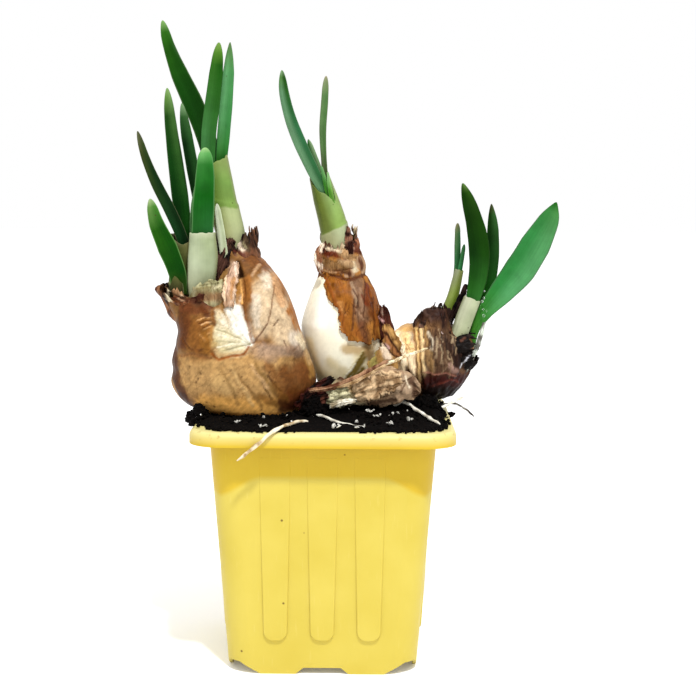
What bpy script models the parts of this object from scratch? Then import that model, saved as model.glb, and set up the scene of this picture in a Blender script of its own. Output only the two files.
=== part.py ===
"""A potted daffodil before it flowers: three sprouting bulbs in soil, in a square plastic pot.

+Z is up and the photographed side faces -Y. The origin is the middle of the pot's base, on the surface
that the pot stands on. Sizes are in millimetres, and mesh_object() turns them into metres.
"""

import math
import random

import bmesh
import bpy
from mathutils import Vector, noise

MM = 0.001
SEAT_GAP = 0.3          # clearance left between pieces that touch
SMOOTH_ANGLE = 32       # degrees: edges sharper than this stay sharp

# Pot: a 90 mm square moulding with an out-turned rim
POT_HEIGHT = 86.0
RIM_HALF = 45.0
RIM_DEPTH = 4.8
RIM_RADIUS = 10.5
RIM_WALL = 1.2
RIM_ROUND = 1.7         # rounding of the rim's outer edge
RIM_BEVEL = 0.5
NECK_DROP = 1.4         # the wall turns out to the rim this far below its lower edge
BODY_TOP_HALF = 38.7
BODY_FOOT_HALF = 32.7
BODY_RADIUS = 8.8
WALL = 1.3
FLOOR_TOP = 7.7
FLOOR_WALL = 1.2
NOTCH_HEIGHT = 2.0      # gap under the middle of each side
CORNER_RISE = 4.1       # gap under each corner
FOOT_END = 21.1         # the lower edge slopes up from here, measured from the middle of a side
CORNER_END = 28.5       # to here
PAD_RADIUS = 7.0        # round pad under the middle of the floor
DRAIN_RADIUS = 4.0
DRAIN_PLACE = 15.0
RIB_PITCH = 16.0
RIB_LOW = 11.0
RIB_HIGH = 78.5
RIB_WIDTH_LOW = 8.4
RIB_WIDTH_HIGH = 11.0
RIB_HEIGHT = 0.9

# Soil: it fills the pot and is heaped under the two bulbs on the right
SOIL_LEVEL = 87.2
SOIL_LOWEST = 86.8
SOIL_SPILL = 2.6        # how far it lies over the rim
SOIL_MOUND = 4.6
SOIL_LUMP = 0.9
CHORD_SLACK = 0.15      # the round corners of the pot and the soil are cut into different chords

# Leaf blades
BLADE_THICK = 1.5
BLADE_EDGE = 0.7
BLADE_STEPS = (0.0, 0.17, 0.34, 0.5, 0.65, 0.78, 0.89, 0.95, 0.985, 1.0)
BLADE_TIP = 0.12        # share of the length over which the tip is rounded off
BLADE_COLUMNS = (-1.0, -0.5, 0.0, 0.5, 1.0)

FRONT = (0.0, -1.0, 0.0)


def remove_scene_objects():
    """Start from an empty scene."""
    for item in list(bpy.data.objects):
        bpy.data.objects.remove(item, do_unlink=True)


def finish(name, colour, roughness):
    """A plain Principled BSDF material, made once."""
    found = bpy.data.materials.get(name)
    if found:
        return found
    made = bpy.data.materials.new(name)
    made.use_nodes = True
    shader = made.node_tree.nodes["Principled BSDF"]
    shader.inputs["Base Color"].default_value = (*colour, 1.0)
    shader.inputs["Roughness"].default_value = roughness
    shader.inputs["Metallic"].default_value = 0.0
    return made


def mesh_object(name, points, faces, stuff):
    """One closed mesh with its faces pointing out, from points in millimetres."""
    mesh = bpy.data.meshes.new(name)
    mesh.from_pydata([Vector(point) * MM for point in points], [], faces)
    shape = bmesh.new()
    shape.from_mesh(mesh)
    bmesh.ops.recalc_face_normals(shape, faces=shape.faces)
    shape.to_mesh(mesh)
    shape.free()
    item = bpy.data.objects.new(name, mesh)
    bpy.context.scene.collection.objects.link(item)
    if stuff:
        mesh.materials.append(stuff)
    return item


def loft(name, rings, stuff, closed=False):
    """A solid through rings of equally many points: capped with a fan at both ends, or closed on itself."""
    count = len(rings[0])
    points = [Vector(point) for ring in rings for point in ring]
    spans = len(rings) if closed else len(rings) - 1
    faces = []
    for row in range(spans):
        low = row * count
        high = (row + 1) % len(rings) * count
        for place in range(count):
            after = (place + 1) % count
            faces.append((low + place, low + after, high + after, high + place))
    if not closed:
        for first in (0, len(points) - count):
            points.append(sum(points[first:first + count], Vector()) / count)
            middle = len(points) - 1
            faces += [(first + place, first + (place + 1) % count, middle) for place in range(count)]
    return mesh_object(name, points, faces, stuff)


def plate(name, front, back, stuff):
    """A thin solid between two grids of points, split into triangles alike on both faces."""
    rows = len(front)
    columns = len(front[0])
    sheet = rows * columns
    points = [point for row in front for point in row] + [point for row in back for point in row]
    faces = []
    for row in range(rows - 1):
        for column in range(columns - 1):
            low = row * columns + column
            high = low + columns
            for first in (low, low + sheet):
                step = first - low
                faces += [(first, first + 1, high + step + 1), (first, high + step + 1, high + step)]
    last = sheet - columns
    rim = list(range(columns)) + [row * columns + columns - 1 for row in range(1, rows)]
    rim += [last + column for column in range(columns - 2, -1, -1)]
    rim += [row * columns for row in range(rows - 2, 0, -1)]
    for near, far in zip(rim, rim[1:] + rim[:1]):
        faces.append((near, far, far + sheet, near + sheet))
    return mesh_object(name, points, faces, stuff)


def boolean(target, tools, operation, solver="EXACT"):
    """Join or cut a solid with others, one at a time, and remove those."""
    for tool in tools:
        step = target.modifiers.new("step", "BOOLEAN")
        step.operation = operation
        step.solver = solver
        step.object = tool
        bpy.context.view_layer.update()
        graph = bpy.context.evaluated_depsgraph_get()
        result = bpy.data.meshes.new_from_object(target.evaluated_get(graph))
        target.modifiers.remove(step)
        target.data = result
        bpy.data.objects.remove(tool, do_unlink=True)
    return target


def join(target, tools):
    return boolean(target, tools, "UNION")


def cut(target, tools, solver="EXACT"):
    return boolean(target, tools, "DIFFERENCE", solver)


def shade_round(item, angle):
    """Smooth shading, with edges sharper than the angle kept."""
    item.data.shade_smooth()
    item.data.set_sharp_from_angle(angle=math.radians(angle))


def along(points, share):
    """The place at a share of the way along a smooth curve through the points."""
    spans = len(points) - 1
    index = min(int(share * spans), spans - 1)
    local = share * spans - index
    start = Vector(points[index])
    end = Vector(points[index + 1])
    before = Vector(points[index - 1]) if index > 0 else start * 2 - end
    after = Vector(points[index + 2]) if index + 2 <= spans else end * 2 - start
    square = local * local
    cube = square * local
    return (start * 2 + (end - before) * local
            + (before * 2 - start * 5 + end * 4 - after) * square
            + (start * 3 - before - end * 3 + after) * cube) * 0.5


def heading(points, share):
    """The unit direction of that curve."""
    reach = 0.01
    ahead = along(points, min(share + reach, 1.0))
    behind = along(points, max(share - reach, 0.0))
    return (ahead - behind).normalized()


def across(direction, facing):
    """The side and the front directions of a section across a curve."""
    front = Vector(facing)
    front = (front - direction * front.dot(direction)).normalized()
    return direction.cross(front), front


def mix(values, share):
    """A value read from equally spaced ones."""
    spans = len(values) - 1
    index = min(int(share * spans), spans - 1)
    local = share * spans - index
    return values[index] * (1.0 - local) + values[index + 1] * local


def round_power(angle, power):
    """Cosine and sine pushed towards a square as the power grows past 2."""
    bend = 2.0 / power
    cosine = math.copysign(abs(math.cos(angle)) ** bend, math.cos(angle))
    sine = math.copysign(abs(math.sin(angle)) ** bend, math.sin(angle))
    return cosine, sine


# Pot

POT_YELLOW = ((0.85, 0.72, 0.13), 0.35)
SIDE_STOPS = (-0.731, -0.645, -0.284, -0.196, 0.196, 0.284, 0.645, 0.731)
CORNER_STEPS = 3


def square_outline(half, radius):
    """A rounded square, anticlockwise from its front left corner, with the share along each side."""
    straight = half - radius
    outline = []
    for side in range(4):
        turn = side * math.pi / 2
        spots = [(stop / SIDE_STOPS[-1] * straight, -half, abs(stop)) for stop in SIDE_STOPS]
        for step in range(1, CORNER_STEPS + 1):
            angle = math.pi / 2 * step / (CORNER_STEPS + 1)
            spots.append((straight + radius * math.sin(angle), -straight - radius * math.cos(angle), 1.0))
        for x, y, share in spots:
            outline.append((x * math.cos(turn) - y * math.sin(turn),
                            x * math.sin(turn) + y * math.cos(turn), share))
    return outline


def square_ring(half, radius, height):
    return [(x, y, height) for x, y, share in square_outline(half, radius)]


def foot_ring(half, radius):
    """The lower edge: it stands on two feet a side, with a notch between them and corners that slope up."""
    ring = []
    for x, y, share in square_outline(half, radius):
        past_foot = (min(abs(x), abs(y)) - FOOT_END) / (CORNER_END - FOOT_END)
        rise = CORNER_RISE * min(max(past_foot, 0.0), 1.0)
        ring.append((x, y, NOTCH_HEIGHT if share < 0.25 else rise))
    return ring


def pot_shell(stuff):
    """The shell from its floor up the inside, over the rolled rim, and down the outside to the feet."""
    rim_low = POT_HEIGHT - RIM_DEPTH
    under_rim = POT_HEIGHT - RIM_WALL - RIM_BEVEL
    neck = rim_low - NECK_DROP
    inner_radius = BODY_RADIUS - WALL
    floor_half = BODY_FOOT_HALF - WALL
    rings = [
        square_ring(floor_half, inner_radius, FLOOR_TOP),
        square_ring(BODY_TOP_HALF - WALL, inner_radius, neck),
        square_ring(BODY_TOP_HALF, BODY_RADIUS, POT_HEIGHT - RIM_ROUND),
        square_ring(BODY_TOP_HALF + RIM_BEVEL, BODY_RADIUS + RIM_BEVEL, POT_HEIGHT - RIM_BEVEL),
        square_ring(BODY_TOP_HALF + RIM_ROUND, BODY_RADIUS + RIM_BEVEL, POT_HEIGHT),
        square_ring(RIM_HALF - RIM_ROUND, RIM_RADIUS - RIM_WALL, POT_HEIGHT),
        square_ring(RIM_HALF - RIM_BEVEL, RIM_RADIUS - RIM_BEVEL, POT_HEIGHT - RIM_BEVEL),
        square_ring(RIM_HALF, RIM_RADIUS, POT_HEIGHT - RIM_ROUND),
        square_ring(RIM_HALF, RIM_RADIUS, rim_low),
        square_ring(RIM_HALF - RIM_WALL, RIM_RADIUS - RIM_WALL, rim_low),
        square_ring(RIM_HALF - RIM_WALL, RIM_RADIUS - RIM_WALL, under_rim),
        square_ring(BODY_TOP_HALF + RIM_BEVEL, BODY_RADIUS + RIM_BEVEL, under_rim),
        square_ring(BODY_TOP_HALF, BODY_RADIUS, neck),
        foot_ring(BODY_FOOT_HALF, BODY_RADIUS),
        foot_ring(floor_half, inner_radius),
        square_ring(floor_half, inner_radius, FLOOR_TOP - FLOOR_WALL),
    ]
    return loft("pot", rings, stuff)


def rib(place, side, stuff):
    """One raised rib with a rounded lower end, lying on a side's slope and fading out under the rim."""
    slope = (BODY_TOP_HALF - BODY_FOOT_HALF) / (POT_HEIGHT - RIM_DEPTH)
    length = RIB_HIGH - RIB_LOW
    corner = RIB_WIDTH_LOW * 0.36
    rings = []
    for inset, lift in ((0.0, -0.7), (0.0, 0.05), (0.9, 1.0)):
        low = RIB_WIDTH_LOW / 2 - inset
        high = RIB_WIDTH_HIGH / 2 - inset
        outline = [(high, length - inset), (-high, length - inset)]
        for angle in (0, 45, 90):
            turn = math.radians(angle)
            outline.append((-low + corner * (1 - math.cos(turn)), inset + corner * (1 - math.sin(turn))))
        for angle in (90, 45, 0):
            turn = math.radians(angle)
            outline.append((low - corner * (1 - math.cos(turn)), inset + corner * (1 - math.sin(turn))))
        ring = []
        for u, v in outline:
            height = RIB_LOW + v
            fade = 1.0 - 0.75 * v / length
            out = BODY_FOOT_HALF + slope * height + (lift * RIB_HEIGHT * fade if lift > 0 else lift)
            turn = side * math.pi / 2
            x = place + u
            ring.append((x * math.cos(turn) + out * math.sin(turn),
                         x * math.sin(turn) - out * math.cos(turn), height))
        rings.append(ring)
    return loft("rib", rings, stuff)


def round_post(name, x, y, radius, low, high, stuff, sides=12):
    rings = []
    for height in (low, high):
        rings.append([(x + radius * math.cos(math.tau * k / sides),
                       y + radius * math.sin(math.tau * k / sides), height) for k in range(sides)])
    return loft(name, rings, stuff)


def make_pot():
    stuff = finish("yellow_polypropylene", *POT_YELLOW)
    pot = pot_shell(stuff)
    ribs = [rib(place, side, stuff) for side in range(4) for place in (-RIB_PITCH, 0.0, RIB_PITCH)]
    pad = round_post("pad", 0.0, 0.0, PAD_RADIUS, 0.0, FLOOR_TOP - FLOOR_WALL / 2, stuff)
    join(pot, ribs + [pad])
    drains = [round_post("drain", x * DRAIN_PLACE, y * DRAIN_PLACE, DRAIN_RADIUS,
                         FLOOR_TOP - 2 * FLOOR_WALL, FLOOR_TOP + FLOOR_WALL, stuff)
              for x in (-1, 1) for y in (-1, 1)]
    return cut(pot, drains)


# Soil

SOIL_BROWN = ((0.012, 0.008, 0.006), 0.95)
SOIL_SIDES = 54
SOIL_RINGS = (0.99, 0.92, 0.84, 0.75, 0.65, 0.54, 0.42, 0.28, 0.13)


def soil_edge(half, radius, angle):
    """The place where a ray from the middle meets a rounded square."""
    x = math.cos(angle)
    y = math.sin(angle)
    reach = half / max(abs(x), abs(y))
    straight = half - radius
    if min(abs(x), abs(y)) * reach > straight:
        middle = straight * (abs(x) + abs(y))
        reach = middle + math.sqrt(max(middle * middle - 2 * straight * straight + radius * radius, 0.0))
    return x * reach, y * reach


def soil_height(x, y):
    """Level soil with a heap on the right and lumps all over."""
    heap = SOIL_MOUND * math.exp(-((x - 21.0) / 20.0) ** 2 - ((y - 3.0) / 17.0) ** 2)
    lumps = noise.noise(Vector((x, y, 3.0)) * 0.19) + 0.7 * noise.noise(Vector((x, y, 9.0)) * 0.43)
    return max(SOIL_LEVEL + heap + SOIL_LUMP * lumps, SOIL_LOWEST)


def make_soil():
    stuff = finish("dark_peat", *SOIL_BROWN)
    angles = [math.tau * k / SOIL_SIDES for k in range(SOIL_SIDES)]
    slack = SEAT_GAP + CHORD_SLACK
    low_half = BODY_FOOT_HALF - WALL - slack
    high_half = BODY_TOP_HALF - WALL - slack
    rest_height = POT_HEIGHT + SEAT_GAP
    rings = []
    for half, height in ((low_half, FLOOR_TOP + SEAT_GAP),
                         (high_half, POT_HEIGHT - RIM_DEPTH - NECK_DROP),
                         (high_half + RIM_BEVEL, POT_HEIGHT - RIM_ROUND),
                         (high_half + RIM_BEVEL, rest_height)):
        rings.append([(*soil_edge(half, BODY_RADIUS - WALL, angle), height) for angle in angles])
    spill = []
    crest = []
    for angle in angles:
        ragged = 0.8 * noise.noise(Vector((math.cos(angle), math.sin(angle), 0.5)) * 4.0)
        reach = SOIL_SPILL + ragged + (1.2 if math.cos(angle) < -0.75 else 0.0)
        x, y = soil_edge(high_half + reach, BODY_RADIUS + reach, angle)
        spill.append((x, y, rest_height))
        crest.append((x * 0.99, y * 0.99, rest_height + 0.45 + 0.3 * ragged))
    rings += [spill, crest]
    for share in SOIL_RINGS:
        ring = []
        for angle in angles:
            x, y = soil_edge(high_half * share, BODY_RADIUS * share, angle)
            ring.append((x, y, soil_height(x, y)))
        rings.append(ring)
    return loft("soil", rings, stuff)


# Bulbs

TUNIC_BROWN = ((0.33, 0.15, 0.05), 0.6)
FLESH_WHITE = ((0.87, 0.82, 0.66), 0.4)
TUNIC_TAN = ((0.55, 0.33, 0.15), 0.65)
TUNIC_GREY = ((0.36, 0.28, 0.2), 0.7)
BULB_SIDES = 18
BULB_POWER = 2.15
BULB_RIDGE = 0.4
WRINKLE = 0.7


def stack(name, sections, stuff, grow=0.0, ridge=0.0, sides=BULB_SIDES, power=BULB_POWER):
    """A body of level sections, each (height, left, right, front, back), with shallow upright ridges."""
    rings = []
    last = len(sections) - 1
    for row, (height, left, right, front, back) in enumerate(sections):
        level = height - grow if row == 0 else height + grow if row == last else height
        middle = Vector(((left + right) / 2, (front + back) / 2, level))
        wide = (right - left) / 2
        deep = (back - front) / 2
        ring = []
        for k in range(sides):
            cosine, sine = round_power(math.tau * k / sides, power)
            wave = noise.noise(Vector((cosine * 2.1, sine * 2.1, row * 0.35 + wide * 0.1)))
            bump = ridge * (wave + 0.4 * (-1) ** k) + grow
            ring.append(middle + Vector((cosine * (wide + bump), sine * (deep + bump), 0.0)))
        rings.append(ring)
    return loft(name, rings, stuff)


def crown(name, middle, wide, deep, low, high, flare, seed, stuff, points=12, thick=0.9):
    """The torn upper edge of a dry tunic: a thin ring with ragged teeth of many heights."""
    draw = random.Random(seed)
    posts = []
    for k in range(points * 2):
        cosine, sine = round_power(math.tau * k / (points * 2), 2.0)
        tooth = draw.uniform(0.6, 1.0) if k % 2 else draw.uniform(0.15, 0.55)
        top = low + (high - low) * tooth
        lean = flare * tooth * draw.uniform(0.6, 1.1)
        foot = Vector((middle[0] + cosine * wide, middle[1] + sine * deep, low))
        tip = Vector((middle[0] + cosine * (wide + lean), middle[1] + sine * (deep + lean), top))
        inward = Vector((-cosine, -sine, 0.0)) * thick
        posts.append([foot, tip, tip + inward, foot + inward])
    return loft(name, posts, stuff, closed=True)


# Level sections of the bulbs from the bottom up: height, left, right, front and back
LEFT_BODY = (
    (79.0, -32.0, -16.0, -11.0, 7.0),
    (82.5, -34.5, -11.0, -16.0, 10.0),
    (86.6, -36.0, -9.0, -19.6, 12.0),
    (88.0, -44.6, -8.0, -21.0, 13.0),
    (91.4, -51.0, -6.0, -22.0, 14.0),
    (97.0, -54.6, -3.0, -22.5, 14.5),
    (102.0, -54.0, -3.8, -22.5, 14.5),
    (106.0, -54.4, -5.3, -22.0, 14.0),
    (112.0, -52.4, -8.0, -20.5, 12.5),
    (117.0, -48.0, -14.0, -17.0, 9.0),
    (120.0, -42.0, -20.0, -11.0, 3.0),
)
LEFT_NOSE = (
    (101.0, -50.0, -30.0, -16.0, 8.0),
    (107.0, -52.6, -25.5, -19.5, 9.0),
    (112.0, -52.6, -25.2, -20.2, 9.0),
    (116.0, -52.0, -26.6, -19.5, 9.0),
    (120.0, -53.4, -28.6, -17.8, 9.0),
    (124.5, -55.6, -31.0, -16.2, 8.4),
    (128.0, -56.6, -33.6, -15.2, 7.8),
)
RIGHT_NOSE = (
    (101.0, -25.0, -8.0, -16.0, 10.0),
    (110.0, -24.6, -6.9, -19.0, 11.0),
    (116.6, -26.4, -9.1, -18.6, 11.0),
    (123.0, -28.4, -11.2, -17.0, 10.6),
    (130.0, -30.8, -14.1, -14.4, 10.0),
    (135.0, -33.0, -17.3, -11.6, 9.4),
    (140.0, -36.4, -21.6, -7.8, 9.0),
    (144.5, -39.0, -26.6, -4.8, 8.6),
)
SADDLE = (
    (106.0, -45.0, -20.0, -17.5, 6.0),
    (114.0, -44.4, -21.0, -17.4, 6.4),
    (121.0, -42.4, -22.6, -16.0, 6.6),
    (127.0, -40.6, -23.6, -13.8, 6.4),
    (133.0, -39.0, -25.2, -10.6, 5.8),
    (138.4, -37.2, -28.2, -7.4, 4.6),
)
MIDDLE_BODY = (
    (86.5, 3.0, 11.0, 10.0, 18.0),
    (91.5, -1.0, 15.0, 4.0, 24.0),
    (97.0, -4.0, 18.0, 1.4, 26.6),
    (101.5, -5.9, 19.6, 0.2, 27.8),
    (109.0, -8.4, 21.0, -0.4, 28.4),
    (114.5, -9.3, 20.6, -0.4, 28.4),
    (119.0, -8.8, 19.6, 0.2, 27.8),
    (127.5, -5.9, 17.2, 2.6, 25.2),
    (131.5, -4.2, 15.4, 4.8, 23.0),
    (136.0, -2.6, 13.0, 6.6, 21.4),
    (143.0, -2.2, 11.2, 7.6, 20.4),
)
LYING_BODY = (
    (90.6, 33.0, 43.0, 1.0, 13.0),
    (92.5, 27.5, 46.8, -3.0, 16.5),
    (96.0, 24.5, 49.8, -5.8, 19.0),
    (101.0, 22.6, 52.6, -7.6, 20.6),
    (106.0, 22.0, 54.0, -8.0, 21.0),
    (110.5, 22.2, 53.4, -7.0, 20.0),
    (114.5, 24.4, 50.6, -3.6, 17.4),
    (117.3, 29.0, 46.0, 0.6, 13.4),
)
OLD_NOSE = (
    (112.0, 32.0, 46.0, -4.0, 11.0),
    (117.0, 31.4, 45.4, -4.4, 10.0),
    (120.5, 32.8, 44.4, -3.4, 8.4),
    (123.4, 35.8, 43.6, -1.0, 6.0),
)


def make_left_bulb():
    """A double-nosed bulb in its brown tunic, torn open in front and ragged at both necks."""
    stuff = finish("brown_bulb_tunic", *TUNIC_BROWN)
    bulb = stack("bulb_left", LEFT_BODY, stuff, ridge=BULB_RIDGE)
    noses = [stack("nose", sections, stuff, ridge=BULB_RIDGE)
             for sections in (LEFT_NOSE, RIGHT_NOSE, SADDLE)]
    frills = [
        crown("frill", (-45.1, -3.7), 11.2, 11.2, 125.0, 133.0, 3.0, 5, stuff),
        crown("frill", (-32.8, 1.9), 6.5, 7.0, 140.5, 152.5, 0.8, 8, stuff, thick=1.4),
    ]
    return join(bulb, noses + frills)


def make_middle_bulb():
    return stack("bulb_middle", MIDDLE_BODY, finish("white_bulb_flesh", *FLESH_WHITE))


def make_middle_tunic():
    """Dry skin left on the right half of the middle bulb, one piece with its ragged neck."""
    stuff = finish("rust_bulb_tunic", *TUNIC_BROWN)
    draw = random.Random(21)
    rows = MIDDLE_BODY[4:10]
    columns = 13
    outer = []
    inner = []
    for column in range(columns):
        share = column / (columns - 1)
        outer.append([])
        inner.append([])
        for row, (height, left, right, front, back) in enumerate(rows):
            start = math.radians(-88 - 24 * row / (len(rows) - 1))
            end = math.radians(80)
            cosine, sine = round_power(start + (end - start) * share, BULB_POWER)
            level = height + (draw.uniform(-2.5, 2.5) if row == 0 else 0.0)
            middle = Vector(((left + right) / 2, (front + back) / 2, level))
            for skin, gap in ((outer, 1.35), (inner, 0.45)):
                skin[-1].append(middle + Vector((cosine * ((right - left) / 2 + gap),
                                                 sine * ((back - front) / 2 + gap), 0.0)))
    patch = plate("tunic_middle", outer, inner, stuff)
    neck = crown("neck", (5.2, 14.0), 9.3, 8.9, 133.8, 149.5, 0.6, 13, stuff, points=11, thick=1.3)
    join(patch, [neck])
    return cut(patch, [stack("flesh", MIDDLE_BODY, None, SEAT_GAP)])


def make_lying_bulb():
    """An old bulb lying on its side, with a withered nose on top."""
    stuff = finish("tan_bulb_tunic", *TUNIC_TAN)
    bulb = stack("bulb_lying", LYING_BODY, stuff, ridge=WRINKLE)
    return join(bulb, [stack("nose", OLD_NOSE, stuff, ridge=WRINKLE, sides=14)])


WITHERED_LINE = ((-2.6, -8.0, 96.2), (5.0, -9.5, 94.4), (13.0, -10.4, 95.6), (21.0, -12.0, 97.4),
                 (28.0, -13.6, 97.6), (33.6, -13.4, 95.4))
WITHERED_DEPTH = (2.0, 7.0, 8.4, 8.6, 8.0, 2.6)
WITHERED_HEIGHT = (2.2, 9.6, 11.0, 12.0, 11.0, 4.0)
WITHERED_WRINKLE = 1.4


def tube_rings(points, widths, depths, steps, sides, facing=FRONT, power=2.0, grow=0.0, ridge=0.0):
    """Rings across a curve, each as wide and deep as the lists give."""
    rings = []
    for step in range(steps + 1):
        share = step / steps
        direction = heading(points, share)
        side, front = across(direction, facing)
        middle = along(points, share)
        if grow and step in (0, steps):
            middle = middle + direction * (grow if step else -grow)
        wide = mix(widths, share) / 2 + grow
        deep = mix(depths, share) / 2 + grow
        ring = []
        for k in range(sides):
            cosine, sine = round_power(math.tau * k / sides, power)
            bump = ridge * noise.noise(Vector((cosine * 1.7, sine * 1.7, share * 4.0)))
            ring.append(middle + side * cosine * (wide + bump) + front * sine * (deep + bump))
        rings.append(ring)
    return rings


def withered_rings(grow=0.0):
    return tube_rings(WITHERED_LINE, WITHERED_HEIGHT, WITHERED_DEPTH, 9, 12, grow=grow,
                      ridge=WITHERED_WRINKLE)


def make_withered_bulb():
    """A dry, flattened offset that lies in front of the other two."""
    return loft("bulb_withered", withered_rings(), finish("grey_dry_skin", *TUNIC_GREY))


# Sheaths: the pale tubes that the leaves stand in

SHEATH_PALE = ((0.55, 0.6, 0.4), 0.45)
SHEATH_GREEN = ((0.36, 0.46, 0.14), 0.45)
SHEATH_PAPER = ((0.36, 0.31, 0.17), 0.7)
SHEATH_SIDES = 12
SHEATH_STEPS = 6

# Each sheath has its middle line from the foot up, and its widths and depths along that line
SHEATHS = {
    "sheath_left_front": dict(
        line=((-43.2, -9.0, 124.0), (-43.0, -9.0, 133.0), (-42.8, -9.0, 142.0), (-42.8, -9.0, 150.7)),
        widths=(9.6, 11.0, 11.6, 9.6), depths=(7.4, 8.2, 8.0, 7.2), colour=SHEATH_PALE),
    "sheath_left_back": dict(
        line=((-32.9, 1.9, 138.0), (-33.7, 1.8, 148.0), (-36.4, 1.8, 159.0), (-38.2, 1.8, 168.5),
              (-39.5, 1.8, 177.0)),
        widths=(9.0, 9.8, 10.6, 10.2, 9.4), depths=(9.0, 10.0, 10.8, 11.0, 10.6), colour=SHEATH_GREEN),
    "sheath_left_papery": dict(
        line=((-48.2, 1.6, 123.5), (-48.7, 1.6, 134.0), (-50.0, 1.6, 143.0), (-51.0, 1.6, 150.5)),
        widths=(8.4, 9.6, 10.2, 9.4), depths=(8.0, 9.0, 9.4, 8.8), colour=SHEATH_PAPER),
    "collar_left": dict(
        line=((-52.0, -7.4, 124.0), (-52.2, -7.4, 129.5), (-52.7, -7.4, 135.6)),
        widths=(5.2, 5.6, 5.6), depths=(4.8, 5.2, 5.0), colour=SHEATH_PAPER),
    "sheath_middle": dict(
        line=((4.6, 14.0, 137.0), (3.8, 14.0, 146.0), (2.8, 14.0, 154.0), (0.7, 14.0, 162.5),
              (-2.2, 14.0, 170.8)),
        widths=(9.0, 10.2, 9.8, 8.8, 7.2), depths=(9.0, 9.6, 9.6, 9.0, 8.4), colour=SHEATH_GREEN),
    "sheath_small": dict(
        line=((42.2, 8.8, 112.0), (43.6, 8.8, 119.6), (45.6, 8.8, 127.0), (47.6, 8.8, 137.2)),
        widths=(5.2, 5.0, 4.4, 3.8), depths=(5.0, 5.0, 5.0, 5.2), colour=SHEATH_GREEN),
    "sheath_right": dict(
        line=((45.2, 1.8, 106.0), (47.3, 1.8, 112.5), (49.4, 1.8, 119.3), (52.4, 1.8, 127.4)),
        widths=(6.0, 6.6, 6.6, 6.4), depths=(6.0, 6.8, 6.8, 6.6), colour=SHEATH_PALE),
}


def sheath(name, grow=0.0):
    spec = SHEATHS[name]
    rings = tube_rings(spec["line"], spec["widths"], spec["depths"], SHEATH_STEPS, SHEATH_SIDES,
                       power=2.4, grow=grow)
    return loft(name, rings, finish(name + "_skin", *spec["colour"]))


# Leaves

LEAF_GREEN = ((0.035, 0.16, 0.03), 0.4)
LEAF_BLUE = ((0.09, 0.26, 0.11), 0.4)
DRY_TAN = ((0.5, 0.34, 0.18), 0.7)

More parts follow.
